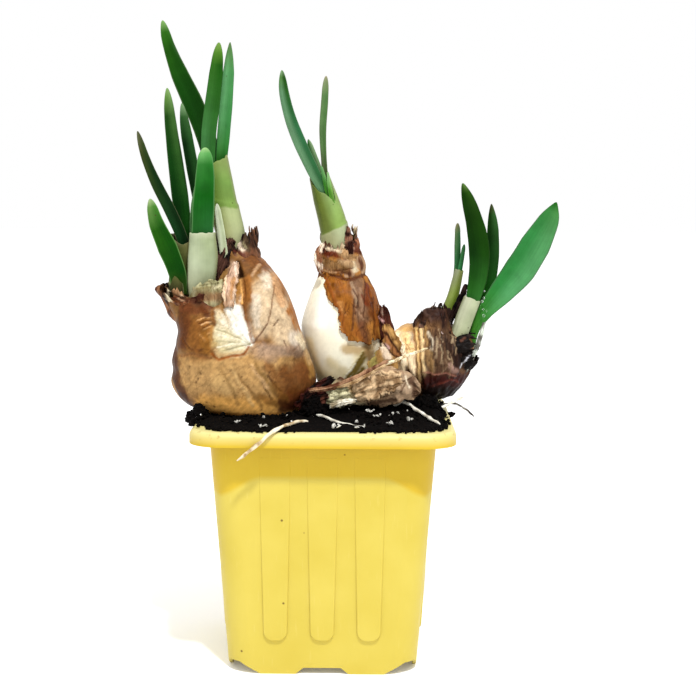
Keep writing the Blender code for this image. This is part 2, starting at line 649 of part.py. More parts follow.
# Each leaf has its middle line from the foot up, its widths along that line, and the depth of its channel
LEAVES = {
    "leaf_left_front": dict(
        line=((-42.8, -9.6, 136.0), (-42.8, -9.6, 148.0), (-42.4, -9.5, 159.0), (-41.8, -9.2, 170.0),
              (-41.8, -8.8, 180.0)),
        widths=(7.0, 7.6, 7.8, 6.6, 4.6), cup=0.9, holder="sheath_left_front", colour=LEAF_GREEN),
    "leaf_left_fold": dict(
        line=((-44.6, -7.0, 138.0), (-45.6, -7.0, 150.0), (-45.4, -6.8, 160.0), (-44.2, -6.6, 169.6)),
        widths=(3.6, 3.8, 3.4, 1.8), cup=0.2, holder="sheath_left_front", colour=LEAF_BLUE),
    "leaf_left_low": dict(
        line=((-52.3, -7.4, 128.5), (-53.2, -7.4, 136.5), (-56.0, -7.4, 145.0), (-59.3, -7.3, 153.4),
              (-61.4, -7.0, 162.2)),
        widths=(3.6, 4.4, 6.0, 5.0, 2.8), cup=0.8, holder="collar_left", colour=LEAF_GREEN),
    "leaf_left_long": dict(
        line=((-49.2, -0.4, 137.0), (-50.6, -0.4, 147.0), (-54.8, -0.8, 157.4), (-59.7, -1.4, 167.2),
              (-63.4, -2.0, 176.2), (-66.2, -2.5, 185.7)),
        widths=(3.6, 4.0, 4.2, 3.8, 3.0, 1.8), cup=0.8, holder="sheath_left_papery", colour=LEAF_BLUE),
    "leaf_left_upright": dict(
        line=((-49.2, 3.6, 137.0), (-50.6, 3.8, 150.0), (-52.2, 4.8, 163.0), (-53.9, 5.8, 175.5),
              (-55.6, 6.8, 188.0), (-57.0, 7.8, 201.3)),
        widths=(4.6, 5.6, 6.0, 5.4, 4.4, 2.6), cup=1.2, holder="sheath_left_papery", colour=LEAF_GREEN),
    "leaf_left_dark": dict(
        line=((-41.6, -1.2, 124.0), (-42.0, -0.8, 136.0), (-42.6, 0.0, 148.0), (-45.0, 1.0, 160.0),
              (-47.2, 1.8, 172.0), (-49.4, 2.6, 184.0), (-51.3, 3.4, 195.7)),
        widths=(3.2, 3.2, 3.4, 4.0, 4.3, 4.0, 2.6), cup=0.7, holder="bulb_left", colour=LEAF_GREEN),
    "leaf_tall": dict(
        line=((-39.0, 4.6, 162.0), (-40.6, 4.9, 173.5), (-43.2, 5.8, 185.0), (-48.0, 7.8, 196.5),
              (-52.8, 9.8, 206.5), (-56.8, 11.8, 216.5), (-59.2, 13.0, 225.4)),
        widths=(4.8, 5.6, 7.2, 7.2, 6.2, 4.2, 2.8), cup=0.7, holder="sheath_left_back",
        colour=LEAF_GREEN),
    "leaf_pair_left": dict(
        line=((-40.2, -0.9, 162.0), (-41.4, -0.9, 173.5), (-41.3, -1.0, 184.5), (-40.0, -1.0, 195.0),
              (-38.6, -1.0, 206.0), (-37.6, -1.0, 216.5)),
        widths=(4.2, 4.8, 5.4, 5.3, 4.8, 3.0), cup=0.7, holder="sheath_left_back", colour=LEAF_BLUE),
    "leaf_pair_right": dict(
        line=((-38.0, 1.8, 162.0), (-37.3, 1.8, 173.0), (-36.4, 1.7, 184.0), (-35.4, 1.5, 195.0),
              (-34.5, 1.3, 206.0), (-33.9, 1.1, 216.8)),
        widths=(3.4, 3.8, 4.6, 4.6, 4.0, 1.6), cup=0.6, holder="sheath_left_back", colour=LEAF_BLUE),
    "leaf_middle_left": dict(
        line=((1.2, 11.9, 156.0), (-0.9, 11.8, 164.0), (-5.2, 11.4, 172.6), (-9.4, 10.9, 181.4),
              (-13.0, 10.0, 190.4), (-15.3, 9.2, 199.4), (-16.2, 8.6, 207.8)),
        widths=(3.0, 3.6, 4.4, 4.6, 4.2, 3.6, 2.4), cup=0.6, holder="sheath_middle", colour=LEAF_BLUE),
    "leaf_middle_inner": dict(
        line=((1.0, 14.1, 156.0), (-1.2, 14.1, 165.5), (-4.0, 13.8, 174.6), (-6.9, 13.4, 183.6)),
        widths=(3.0, 3.4, 3.0, 1.6), cup=0.4, holder="sheath_middle", colour=LEAF_GREEN),
    "leaf_middle_upright": dict(
        line=((1.4, 16.2, 156.0), (-0.4, 16.2, 167.0), (-1.3, 16.2, 177.0), (-1.7, 16.3, 187.0),
              (-1.1, 16.5, 197.0), (-0.6, 16.8, 206.4)),
        widths=(2.4, 2.2, 2.1, 2.6, 2.6, 2.2), cup=0.3, holder="sheath_middle", colour=LEAF_BLUE),
    "leaf_small": dict(
        line=((46.0, 9.9, 129.0), (47.2, 9.8, 137.0), (47.3, 9.4, 145.5), (47.2, 9.0, 153.9)),
        widths=(2.0, 2.2, 2.3, 1.8), cup=0.1, holder="sheath_small", colour=LEAF_BLUE),
    "leaf_small_edge": dict(
        line=((46.2, 7.7, 129.0), (48.1, 7.6, 137.0), (49.6, 7.0, 146.4)),
        widths=(1.6, 1.8, 1.3), cup=0.1, holder="sheath_small", colour=LEAF_GREEN),
    "leaf_right_broad": dict(
        line=((49.8, 2.2, 117.5), (52.2, 2.4, 125.5), (54.2, 3.8, 134.0), (54.9, 5.8, 142.5),
              (53.9, 7.4, 151.0), (51.6, 8.8, 159.8), (48.8, 9.8, 168.2)),
        widths=(4.2, 4.8, 6.6, 7.4, 7.0, 5.4, 2.6), cup=0.9, holder="sheath_right", colour=LEAF_GREEN),
    "leaf_right_upright": dict(
        line=((50.4, 9.0, 106.5), (53.0, 9.2, 114.0), (56.2, 9.6, 122.6), (58.8, 10.4, 132.0),
              (60.0, 11.4, 141.6), (60.2, 12.2, 151.2), (59.6, 13.0, 160.8)),
        widths=(3.4, 3.6, 4.4, 5.0, 5.0, 4.2, 2.0), cup=0.8, holder="bulb_lying", colour=LEAF_GREEN),
    "leaf_right_arching": dict(
        line=((51.6, 4.6, 105.5), (54.8, 3.6, 114.0), (58.8, 2.2, 124.4), (64.0, 0.6, 133.8),
              (70.0, -0.6, 142.0), (76.4, -2.0, 150.4), (81.0, -3.0, 161.6)),
        widths=(3.4, 4.2, 7.4, 10.4, 10.8, 9.0, 3.6), cup=1.2, holder="bulb_lying", colour=LEAF_BLUE),
    "sheath_margin": dict(
        line=((-34.9, -5.7, 130.6), (-35.5, -5.5, 140.6), (-36.8, -5.2, 150.6), (-38.2, -5.0, 160.6)),
        widths=(2.6, 2.8, 2.8, 1.8), cup=0.1, holder="bulb_left", colour=SHEATH_PALE),
    "tunic_flap": dict(
        line=((17.4, -5.0, 96.0), (20.6, -5.2, 103.0), (24.0, -4.6, 110.6), (22.6, -3.6, 117.4)),
        widths=(6.0, 8.0, 6.0, 2.0), cup=0.6, holder=None, colour=DRY_TAN),
    "tunic_spike": dict(
        line=((24.0, 8.6, 110.0), (22.6, 8.4, 116.0), (20.8, 8.2, 123.2)),
        widths=(3.6, 3.2, 1.4), cup=0.2, holder="bulb_lying", colour=DRY_TAN),
}


def blade(name, grow=0.0):
    """A strap leaf with a shallow channel, split into triangles alike on both faces."""
    spec = LEAVES[name]
    line = spec["line"]
    widest = max(spec["widths"])
    inner = []
    outer = []
    for share in BLADE_STEPS:
        direction = heading(line, share)
        side, front = across(direction, FRONT)
        middle = along(line, share)
        if grow and share in (0.0, 1.0):
            middle = middle + direction * (grow if share else -grow)
        wide = mix(spec["widths"], share)
        near_tip = max(share - 1.0 + BLADE_TIP, 0.0) / BLADE_TIP
        rounding = max(math.sqrt(1.0 - near_tip * near_tip), 0.25)
        half = wide / 2 * rounding + grow
        cup = spec["cup"] * (wide / widest) ** 2
        inner.append([])
        outer.append([])
        for u in BLADE_COLUMNS:
            thick = BLADE_EDGE + (min(BLADE_THICK, wide * 0.45) - BLADE_EDGE) * (1 - u * u)
            face = middle + side * u * half + front * cup * u * u
            inner[-1].append(face + front * (thick / 2 + grow))
            outer[-1].append(face - front * (thick / 2 + grow))
    return plate(name, inner, outer, finish(name + "_skin", *spec["colour"]))


# Roots: thin and pale, lying in the soil's surface or hanging over the rim

ROOT_WHITE = ((0.72, 0.68, 0.58), 0.6)
ROOT_STEPS = 12
ROOT_SIDES = 5

ROOTS = {
    "root_front": dict(
        line=((-3.0, -26.0, 85.6), (-7.0, -30.6, 87.9), (-11.4, -38.0, 87.9), (-15.6, -44.6, 87.1),
              (-19.0, -46.3, 84.6), (-23.4, -46.2, 80.8), (-28.0, -46.2, 77.2)),
        size=1.4, drop=0.0),
    "root_right": dict(
        line=((23.0, -8.0, 89.0), (27.4, -10.6, 91.6), (32.0, -17.0, 90.0), (36.0, -24.0, 88.4),
              (39.6, -31.0, 87.2)),
        size=1.3),
    "root_back": dict(
        line=((37.0, -6.0, 87.4), (41.4, -4.4, 88.6), (44.6, -2.4, 89.9), (49.6, -0.6, 92.0)),
        size=1.2),
    "root_dark": dict(
        line=((37.0, 2.6, 87.2), (42.0, 2.0, 88.6), (46.6, 1.2, 89.3), (50.2, 0.6, 87.6),
              (53.6, 0.0, 84.6)),
        size=0.9),
    "root_middle": dict(
        line=((-5.0, -16.0, 86.6), (-1.0, -22.0, 88.4), (3.6, -29.6, 87.9), (9.6, -35.0, 87.2),
              (17.0, -38.4, 87.0)),
        size=1.2),
}


def root(name, grow=0.0):
    spec = ROOTS[name]
    thin = (spec["size"] * 0.8, spec["size"], spec["size"], spec["size"] * 0.6)
    rings = tube_rings(spec["line"], thin, thin, ROOT_STEPS, ROOT_SIDES, facing=(0.3, 0.5, 0.8), grow=grow)
    return loft(name, rings, finish("pale_root", *ROOT_WHITE))


def make_all():
    remove_scene_objects()
    make_pot()
    soil = make_soil()
    holders = {
        "bulb_left": make_left_bulb(),
        "bulb_lying": make_lying_bulb(),
    }
    middle = make_middle_bulb()
    make_middle_tunic()
    make_withered_bulb()

    for name in SHEATHS:
        holders[name] = sheath(name)
    cut(holders["bulb_left"], [sheath(name, SEAT_GAP) for name in SHEATHS
                               if "left" in name])
    cut(middle, [sheath("sheath_middle", SEAT_GAP)])
    cut(holders["bulb_lying"], [sheath("sheath_small", SEAT_GAP), sheath("sheath_right", SEAT_GAP)])

    for name, spec in LEAVES.items():
        if spec["holder"]:
            solver = "MANIFOLD" if spec["holder"] == "bulb_left" else "EXACT"
            cut(holders[spec["holder"]], [blade(name, SEAT_GAP)], solver)
        blade(name)

    buried = [stack("pocket", sections, None, SEAT_GAP, ridge)
              for sections, ridge in ((LEFT_BODY, BULB_RIDGE), (MIDDLE_BODY, 0.0), (LYING_BODY, WRINKLE))]
    buried.append(loft("pocket", withered_rings(SEAT_GAP), None))
    cut(soil, buried + [root(name, SEAT_GAP) for name in ROOTS])
    for name in ROOTS:
        root(name)
    for item in bpy.context.scene.objects:
        shade_round(item, SMOOTH_ANGLE)


make_all()
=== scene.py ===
import math
import random

import bmesh
import bpy
import numpy as np
from mathutils import Matrix, Vector, noise


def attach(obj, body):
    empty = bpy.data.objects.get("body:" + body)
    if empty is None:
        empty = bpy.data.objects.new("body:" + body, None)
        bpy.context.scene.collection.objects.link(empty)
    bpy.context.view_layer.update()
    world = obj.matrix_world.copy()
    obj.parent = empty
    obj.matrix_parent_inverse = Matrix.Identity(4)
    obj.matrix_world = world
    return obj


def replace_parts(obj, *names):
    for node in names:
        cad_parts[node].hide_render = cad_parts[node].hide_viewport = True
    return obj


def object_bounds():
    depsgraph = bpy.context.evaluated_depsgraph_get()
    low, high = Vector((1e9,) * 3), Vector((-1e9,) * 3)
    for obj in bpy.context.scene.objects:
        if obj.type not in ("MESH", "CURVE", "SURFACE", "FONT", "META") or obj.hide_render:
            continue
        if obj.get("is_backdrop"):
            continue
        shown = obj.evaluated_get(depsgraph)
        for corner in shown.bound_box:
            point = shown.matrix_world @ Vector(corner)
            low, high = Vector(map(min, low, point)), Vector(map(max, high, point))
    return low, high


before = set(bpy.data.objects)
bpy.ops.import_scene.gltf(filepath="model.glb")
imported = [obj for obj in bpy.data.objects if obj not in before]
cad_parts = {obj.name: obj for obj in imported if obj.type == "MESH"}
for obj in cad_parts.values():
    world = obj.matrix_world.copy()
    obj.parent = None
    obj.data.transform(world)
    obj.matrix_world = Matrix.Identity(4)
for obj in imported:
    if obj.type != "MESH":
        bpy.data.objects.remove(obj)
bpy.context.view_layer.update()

# The camera stands 52 cm in front of the pot, a little to the right and 7 degrees above level, with a short
# telephoto lens, as the photograph was taken. Sizes are in millimetres, and mm makes metres of them.
mm = 0.001
aim = Vector((8.04, 0.0, 109.34)) * mm
distance = 519.7 * mm
look_down = math.radians(6.75)
look_left = math.radians(0.43)
lean = math.radians(0.35)
turned = (Matrix.Rotation(look_left, 3, "Z") @ Matrix.Rotation(math.pi / 2 - look_down, 3, "X")
          @ Matrix.Rotation(lean, 3, "Z"))
bpy.ops.object.camera_add(location=aim + turned @ Vector((0.0, 0.0, distance)), rotation=turned.to_euler())
camera = bpy.context.object
camera.data.sensor_width = 36.0
camera.data.lens = 75.1
camera.data.clip_start = 0.01
bpy.context.scene.camera = camera


# The floor is a plain, matt white card that runs out of view on every side and gives off a little light, to
# stay white under the pot. A lamp above the camera throws the rim's shadow down the pot, and a white room
# fills in the rest.
def linear(code):
    """An sRGB hex colour as linear values."""
    shades = [int(code[place:place + 2], 16) / 255 for place in (1, 3, 5)]
    return (*[s / 12.92 if s <= 0.04045 else ((s + 0.055) / 1.055) ** 2.4 for s in shades], 1.0)


def wire(tree, node, sockets):
    """Give a node's sockets their links or their values; text is an sRGB hex colour."""
    for socket, value in sockets.items():
        if isinstance(value, bpy.types.NodeSocket):
            tree.links.new(value, node.inputs[socket])
        else:
            node.inputs[socket].default_value = linear(value) if isinstance(value, str) else value


def put(tree, kind, sockets=None, stops="", out=0, **settings):
    """Add a node with its settings and sockets, and a ramp's places and colours; give one output, or all."""
    made = tree.nodes.new("ShaderNode" + kind)
    for key, value in settings.items():
        setattr(made, key, value)
    wire(tree, made, sockets or {})
    words = stops.split()
    if words:
        ramp = made.color_ramp.elements
        while len(ramp) < len(words) // 2:
            ramp.new(1.0)
        for stop, place, code in zip(ramp, words[::2], words[1::2]):
            stop.position = float(place)
            stop.color = linear(code)
    return made.outputs if out is None else made.outputs[out]


def start_material(name, gloss=0.12):
    """A new material, its tree and its shader, which throws back the white room as strongly as gloss says."""
    made = bpy.data.materials.new(name)
    made.use_nodes = True
    shader = made.node_tree.nodes["Principled BSDF"]
    wire(made.node_tree, shader, {"Specular IOR Level": gloss})
    return made, made.node_tree, shader


def start_piece():
    """Deselect everything, so that a new primitive stands alone."""
    bpy.ops.object.select_all(action="DESELECT")


start_piece()
bpy.ops.mesh.primitive_plane_add(size=6.0, location=(0.0, 1.0, 0.0))
floor = bpy.context.object
floor.name = "floor"
card, tree, shader = start_material("white_card")
wire(tree, shader, {"Base Color": "#FFFFFF", "Roughness": 1.0, "Emission Color": "#FFFFFF",
                    "Emission Strength": 0.12})
floor.data.materials.append(card)
floor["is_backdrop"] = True

lamp_turn = math.radians(14.0)
lamp_rise = math.radians(58.0)
lamp_reach = 1.3
toward_lamp = Vector((math.sin(lamp_turn) * math.cos(lamp_rise), -math.cos(lamp_turn) * math.cos(lamp_rise),
                      math.sin(lamp_rise)))
bpy.ops.object.light_add(type="AREA", location=aim + toward_lamp * lamp_reach,
                         rotation=toward_lamp.to_track_quat("Z", "Y").to_euler())
lamp = bpy.context.object
lamp.name = "key_lamp"
lamp.data.shape = "DISK"
lamp.data.size = 0.1
lamp.data.energy = 17.0
room = bpy.data.worlds.new("white_room")
room.use_nodes = True
wire(room.node_tree, room.node_tree.nodes["Background"], {"Color": "#FFFFFF", "Strength": 1.0})
bpy.context.scene.world = room
bpy.context.scene.view_settings.view_transform = "Standard"


# The pot is one injection moulding of yellow polypropylene, 1.3 mm thick: a tapered square with round
# corners, a flange with a turned-down rim, three raised ribs a side, and feet cut into its lower edge.
POT_HEIGHT = 86.0
RIM_HALF = 45.0
RIM_DEPTH = 4.8
TOP_HALF = 38.8
FOOT_HALF = 32.7
CORNER_RADIUS = 8.8
WALL = 1.25
FLOOR_TOP = 7.7
RIB_PITCH = 16.0
RIB_LOW = 12.2
RIB_HIGH = 77.0
RIB_WIDTH = (8.0, 11.0)
RIB_HEIGHT = 0.9
RIB_TOP = 0.14
NOTCH = (10.3, 6.4, 3.2)            # half widths below and above, and height, of the cuts in the lower edge
NOTCH_MIDDLE = 0.7
NOTCH_STRETCH = (6.0, 1.0)          # one cut runs through two opposite sides
CORNER_CUT = (24.3, 16.2, 4.5)
CORNER_MIDDLE = 1.85
CORNER_OUT = 44.7
PAD_RADIUS = 7.0
DRAIN_RADIUS = 4.0
DRAIN_OUT = 15.0
CORNERS = ((-1, -1), (1, -1), (1, 1), (-1, 1))


def pick(piece, kind, rule):
    """In edit mode, select only the verts, edges or faces that the rule takes."""
    shape = bmesh.from_edit_mesh(piece.data)
    bpy.context.tool_settings.mesh_select_mode = (kind == "verts", kind == "edges", kind == "faces")
    for items in (shape.verts, shape.edges, shape.faces):
        for item in items:
            item.select = False
    for item in getattr(shape, kind):
        if rule(item):
            item.select_set(True)
    shape.select_flush_mode()
    bmesh.update_edit_mesh(piece.data)


def height_of(item):
    """The middle height of an edge or a face, in mm."""
    return sum(v.co.z for v in item.verts) / len(item.verts) / mm


def apply_all(piece):
    """Apply the modifiers of a piece, first to last."""
    bpy.context.view_layer.objects.active = piece
    for step in list(piece.modifiers):
        bpy.ops.object.modifier_apply(modifier=step.name)


def place_in_mesh(piece):
    """Bring the object to the origin, with its place, turn and size in its mesh."""
    start_piece()
    piece.select_set(True)
    bpy.context.view_layer.objects.active = piece
    bpy.ops.object.transform_apply(location=True, rotation=True, scale=True)
    return piece


def cut_or_join(piece, tools, operation):
    """Cut a piece with others or weld them to it, and remove those."""
    for tool in tools:
        step = piece.modifiers.new(operation, "BOOLEAN")
        step.operation = operation
        step.object = tool
        bpy.context.view_layer.objects.active = piece
        bpy.ops.object.modifier_apply(modifier=step.name)
        bpy.data.objects.remove(tool, do_unlink=True)


start_piece()
bpy.ops.mesh.primitive_cube_add(size=2.0, location=(0.0, 0.0, (POT_HEIGHT - WALL) / 2 * mm),
                                scale=(TOP_HALF * mm, TOP_HALF * mm, (POT_HEIGHT - WALL) / 2 * mm))
pot = place_in_mesh(bpy.context.object)
pot.name = "pot_moulding"
bpy.ops.object.mode_set(mode="EDIT")
pick(pot, "faces", lambda face: abs(face.normal.z) > 0.9)
bpy.ops.mesh.delete(type="ONLY_FACE")
pick(pot, "verts", lambda vert: vert.co.z < mm)
taper = FOOT_HALF / TOP_HALF
bpy.ops.transform.resize(value=(taper, taper, 1.0), center_override=(0.0, 0.0, 0.0))
pick(pot, "edges", lambda edge: abs(edge.verts[0].co.z - edge.verts[1].co.z) > mm)
bpy.ops.mesh.bevel(offset=CORNER_RADIUS * mm, segments=10, affect="EDGES")
pick(pot, "edges", lambda edge: height_of(edge) > POT_HEIGHT - 2.0)
bpy.ops.mesh.extrude_region_move()
spread = (RIM_HALF - WALL) / TOP_HALF
bpy.ops.transform.resize(value=(spread, spread, 1.0), center_override=(0.0, 0.0, 0.0))
bpy.ops.mesh.extrude_region_move(TRANSFORM_OT_translate={"value": (0.0, 0.0, -(RIM_DEPTH - WALL) * mm)})
bpy.ops.mesh.select_all(action="SELECT")
bpy.ops.mesh.normals_make_consistent(inside=True)
pick(pot, "edges", lambda edge: height_of(edge) > POT_HEIGHT - WALL - 0.1 and len(edge.link_faces) == 2
     and min(abs(face.normal.z) for face in edge.link_faces) < 0.5)
bpy.ops.mesh.bevel(offset=0.9 * mm, segments=4, affect="EDGES")
bpy.ops.object.mode_set(mode="OBJECT")
wall = pot.modifiers.new("wall", "SOLIDIFY")
wall.thickness = WALL * mm
wall.offset = -1.0
apply_all(pot)


def wedge(sizes, x, y, middle):
    """A square block that narrows upward, to cut the pot's lower edge with."""
    low, high = [half * math.sqrt(2) * mm for half in sizes[:2]]
    start_piece()
    bpy.ops.mesh.primitive_cone_add(vertices=4, radius1=low, radius2=high, depth=sizes[2] * mm,
                                    rotation=(0.0, 0.0, math.pi / 4), location=(x * mm, y * mm, middle * mm))
    return place_in_mesh(bpy.context.object)


feet = []
for wide, deep in (NOTCH_STRETCH[::-1], NOTCH_STRETCH):
    feet.append(wedge(NOTCH, 0.0, 0.0, NOTCH_MIDDLE))
    feet[-1].scale = (wide, deep, 1.0)
    place_in_mesh(feet[-1])
feet += [wedge(CORNER_CUT, x * CORNER_OUT, y * CORNER_OUT, CORNER_MIDDLE) for x, y in CORNERS]
cut_or_join(pot, feet, "DIFFERENCE")

start_piece()
bpy.ops.mesh.primitive_cube_add(size=2.0, location=(0.0, 0.0, (FLOOR_TOP - WALL / 2) * mm),
                                scale=((FOOT_HALF + 0.2) * mm, (FOOT_HALF + 0.2) * mm, WALL / 2 * mm))
base = place_in_mesh(bpy.context.object)
bpy.ops.object.mode_set(mode="EDIT")
pick(base, "edges", lambda edge: abs(edge.verts[0].co.z - edge.verts[1].co.z) > 0.5 * mm)
bpy.ops.mesh.bevel(offset=CORNER_RADIUS * mm, segments=10, affect="EDGES")
bpy.ops.object.mode_set(mode="OBJECT")
bpy.ops.mesh.primitive_cylinder_add(vertices=48, radius=PAD_RADIUS * mm, depth=FLOOR_TOP * mm - WALL / 2 * mm,
                                    location=(0.0, 0.0, (FLOOR_TOP - WALL / 2) / 2 * mm))
pad = place_in_mesh(bpy.context.object)
ribs = []
slope = (TOP_HALF - FOOT_HALF) / POT_HEIGHT
fade = (RIB_HEIGHT - RIB_TOP) / (RIB_HIGH - RIB_LOW)
middle = (RIB_LOW + RIB_HIGH) / 2
for side in range(4):
    for place in (-RIB_PITCH, 0.0, RIB_PITCH):
        start_piece()
        out = FOOT_HALF + slope * middle + RIB_HEIGHT - fade * (middle - RIB_LOW)
        bpy.ops.mesh.primitive_cube_add(size=2.0, location=(place * mm, (1.0 - out) * mm, middle * mm),
                                        scale=(RIB_WIDTH[0] / 2 * mm, mm, (RIB_HIGH - RIB_LOW) / 2 * mm))
        rib = place_in_mesh(bpy.context.object)
        bpy.ops.object.mode_set(mode="EDIT")
        pick(rib, "verts", lambda vert: vert.co.z > middle * mm)
        bpy.ops.transform.resize(value=(RIB_WIDTH[1] / RIB_WIDTH[0], 1.0, 1.0),
                                 center_override=(place * mm, 0.0, 0.0))
        bpy.ops.transform.translate(value=(0.0, (fade - slope) * (RIB_HIGH - middle) * mm, 0.0))
        pick(rib, "verts", lambda vert: vert.co.z < middle * mm)
        bpy.ops.transform.translate(value=(0.0, (slope - fade) * (middle - RIB_LOW) * mm, 0.0))
        pick(rib, "edges", lambda edge: height_of(edge) < RIB_LOW + 1.0
             and abs(edge.verts[0].co.y - edge.verts[1].co.y) > 1.0 * mm)
        bpy.ops.mesh.bevel(offset=3.2 * mm, segments=8, affect="EDGES")
        pick(rib, "faces", lambda face: face.normal.y < -0.9)
        bpy.ops.mesh.region_to_loop()
        bpy.ops.mesh.bevel(offset=0.45 * mm, segments=3, affect="EDGES")
        bpy.ops.mesh.select_all(action="SELECT")
        bpy.ops.transform.rotate(value=side * math.pi / 2, orient_axis="Z", center_override=(0.0, 0.0, 0.0))
        bpy.ops.object.mode_set(mode="OBJECT")
        ribs.append(rib)
cut_or_join(pot, [base, pad] + ribs, "UNION")
drains = []
for x, y in CORNERS:
    bpy.ops.mesh.primitive_cylinder_add(vertices=32, radius=DRAIN_RADIUS * mm, depth=4.0 * mm,
                                        location=(x * DRAIN_OUT * mm, y * DRAIN_OUT * mm, FLOOR_TOP * mm))
    drains.append(place_in_mesh(bpy.context.object))
cut_or_join(pot, drains, "DIFFERENCE")
start_piece()
pot.select_set(True)
bpy.context.view_layer.objects.active = pot
bpy.ops.object.shade_smooth_by_angle(angle=math.radians(32))
even = pot.modifiers.new("even_shade", "WEIGHTED_NORMAL")
even.keep_sharp = True
even.weight = 100
apply_all(pot)

# Moulded polypropylene is an even, satin yellow. A painted shadow of the rim darkens a band under it,
# reaching lower towards the corners, and a painted highlight makes the rolled lip paler. Handling has left
# fine pale scuffs and specks of soil on it, and wet peat has stained the rim.
UNDER, OVER, BLENDED = 6, 7, 2      # the colour sockets of a Mix node, and its colour output


def speckled(tree, place, tone, spacing, sizes, share, colour):
    """Lay specks on a tone: some of the cells of a pattern hold one, which fades out between two sizes."""
    cells = put(tree, "TexVoronoi", {"Vector": place, "Scale": 1.0 / (spacing * mm)}, out=None)
    speck = put(tree, "MapRange", {"Value": cells["Distance"], "From Min": sizes[0], "From Max": sizes[1],
                                   "To Min": 1.0, "To Max": 0.0})
    lot = put(tree, "SeparateXYZ", {0: cells["Color"]})
    chosen = put(tree, "Math", {0: lot, 1: share}, operation="LESS_THAN")
    dirt = put(tree, "Math", {0: speck, 1: chosen}, operation="MULTIPLY")
    return put(tree, "Mix", {"Factor": dirt, UNDER: tone, OVER: colour}, out=BLENDED, data_type="RGBA")


plastic, tree, shader = start_material("moulded_polypropylene", 0.2)
place = put(tree, "TexCoord", out="Object")
cloud = put(tree, "TexNoise", {"Vector": place, "Scale": 1.0 / (18.0 * mm), "Detail": 3.0})
tone = put(tree, "ValToRGB", {"Fac": cloud}, "0.3 #B8A540 0.7 #BEAC4A")
flow = put(tree, "Mapping", {"Vector": place, "Scale": (1.0, 1.0, 0.06)})
scuff = put(tree, "TexNoise", {"Vector": flow, "Scale": 1.0 / (0.7 * mm), "Detail": 2.0})
worn = put(tree, "MapRange", {"Value": scuff, "From Min": 0.66, "From Max": 0.74, "To Max": 0.09})
tone = put(tree, "Mix", {"Factor": worn, UNDER: tone, OVER: "#D8CE8C"}, out=BLENDED, data_type="RGBA")
tone = speckled(tree, place, tone, 7.0, (0.04, 0.075), 0.13, "#6A5420")
# The band under the rim is a painted shadow: it deepens the yellow from the rim down to a line that drops
# towards the corners, as the rim's shadow does.
x, y, level = put(tree, "SeparateXYZ", {0: place}, out=None)
across, deep = [put(tree, "Math", {0: axis}, operation="ABSOLUTE") for axis in (x, y)]
corner = put(tree, "Math", {0: across, 1: deep}, operation="MINIMUM")
shadow_drop = put(tree, "MapRange", {"Value": corner, "From Min": 20.0 * mm, "From Max": 37.0 * mm,
                                 "To Max": 7.0 * mm}, interpolation_type="SMOOTHSTEP")
reach = put(tree, "Math", {0: level, 1: shadow_drop}, operation="ADD")
rim_shadow_share = put(tree, "MapRange", {"Value": reach, "From Min": 60.0 * mm, "From Max": POT_HEIGHT * mm})
painted_rim_shadow = put(tree, "ValToRGB", {"Fac": rim_shadow_share}, "0 #FFFFFF 0.34 #FFFFFF 0.41 #FCEC90 1 #FCEC90")
tone = put(tree, "Mix", {"Factor": 1.0, UNDER: tone, OVER: painted_rim_shadow}, out=BLENDED, data_type="RGBA",
           blend_type="MULTIPLY")
# The paler top of the rolled lip is a painted highlight.
lip = put(tree, "MapRange", {"Value": level, "From Min": 81.6 * mm, "From Max": 86.0 * mm})
tone = put(tree, "Mix", {"Factor": lip, UNDER: tone, OVER: "#CBC080"}, out=BLENDED, data_type="RGBA")
near_top = put(tree, "MapRange", {"Value": level, "From Min": (POT_HEIGHT - 4.0) * mm,
                                  "From Max": (POT_HEIGHT - 0.2) * mm})
splash = put(tree, "TexNoise", {"Vector": place, "Scale": 1.0 / (2.6 * mm), "Detail": 5.0, "Roughness": 0.65})
darkening = put(tree, "MapRange", {"Value": splash, "From Min": 0.6, "From Max": 0.68, "To Max": 0.75})
stain = put(tree, "Math", {0: darkening, 1: near_top}, operation="MULTIPLY")
tone = put(tree, "Mix", {"Factor": stain, UNDER: tone, OVER: "#8A6A1E"}, out=BLENDED, data_type="RGBA")
matt = put(tree, "MapRange", {"Value": scuff, "From Min": 0.3, "From Max": 0.75, "To Min": 0.36,
                              "To Max": 0.56})
peel = put(tree, "TexNoise", {"Vector": place, "Scale": 1.0 / (1.1 * mm), "Detail": 2.0})
raised = put(tree, "Bump", {"Height": peel, "Strength": 0.25, "Distance": 0.03 * mm})
wire(tree, shader, {"Base Color": tone, "Roughness": matt, "IOR": 1.49, "Normal": raised})
pot.data.materials.append(plastic)
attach(pot, "root")
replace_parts(pot, "pot")
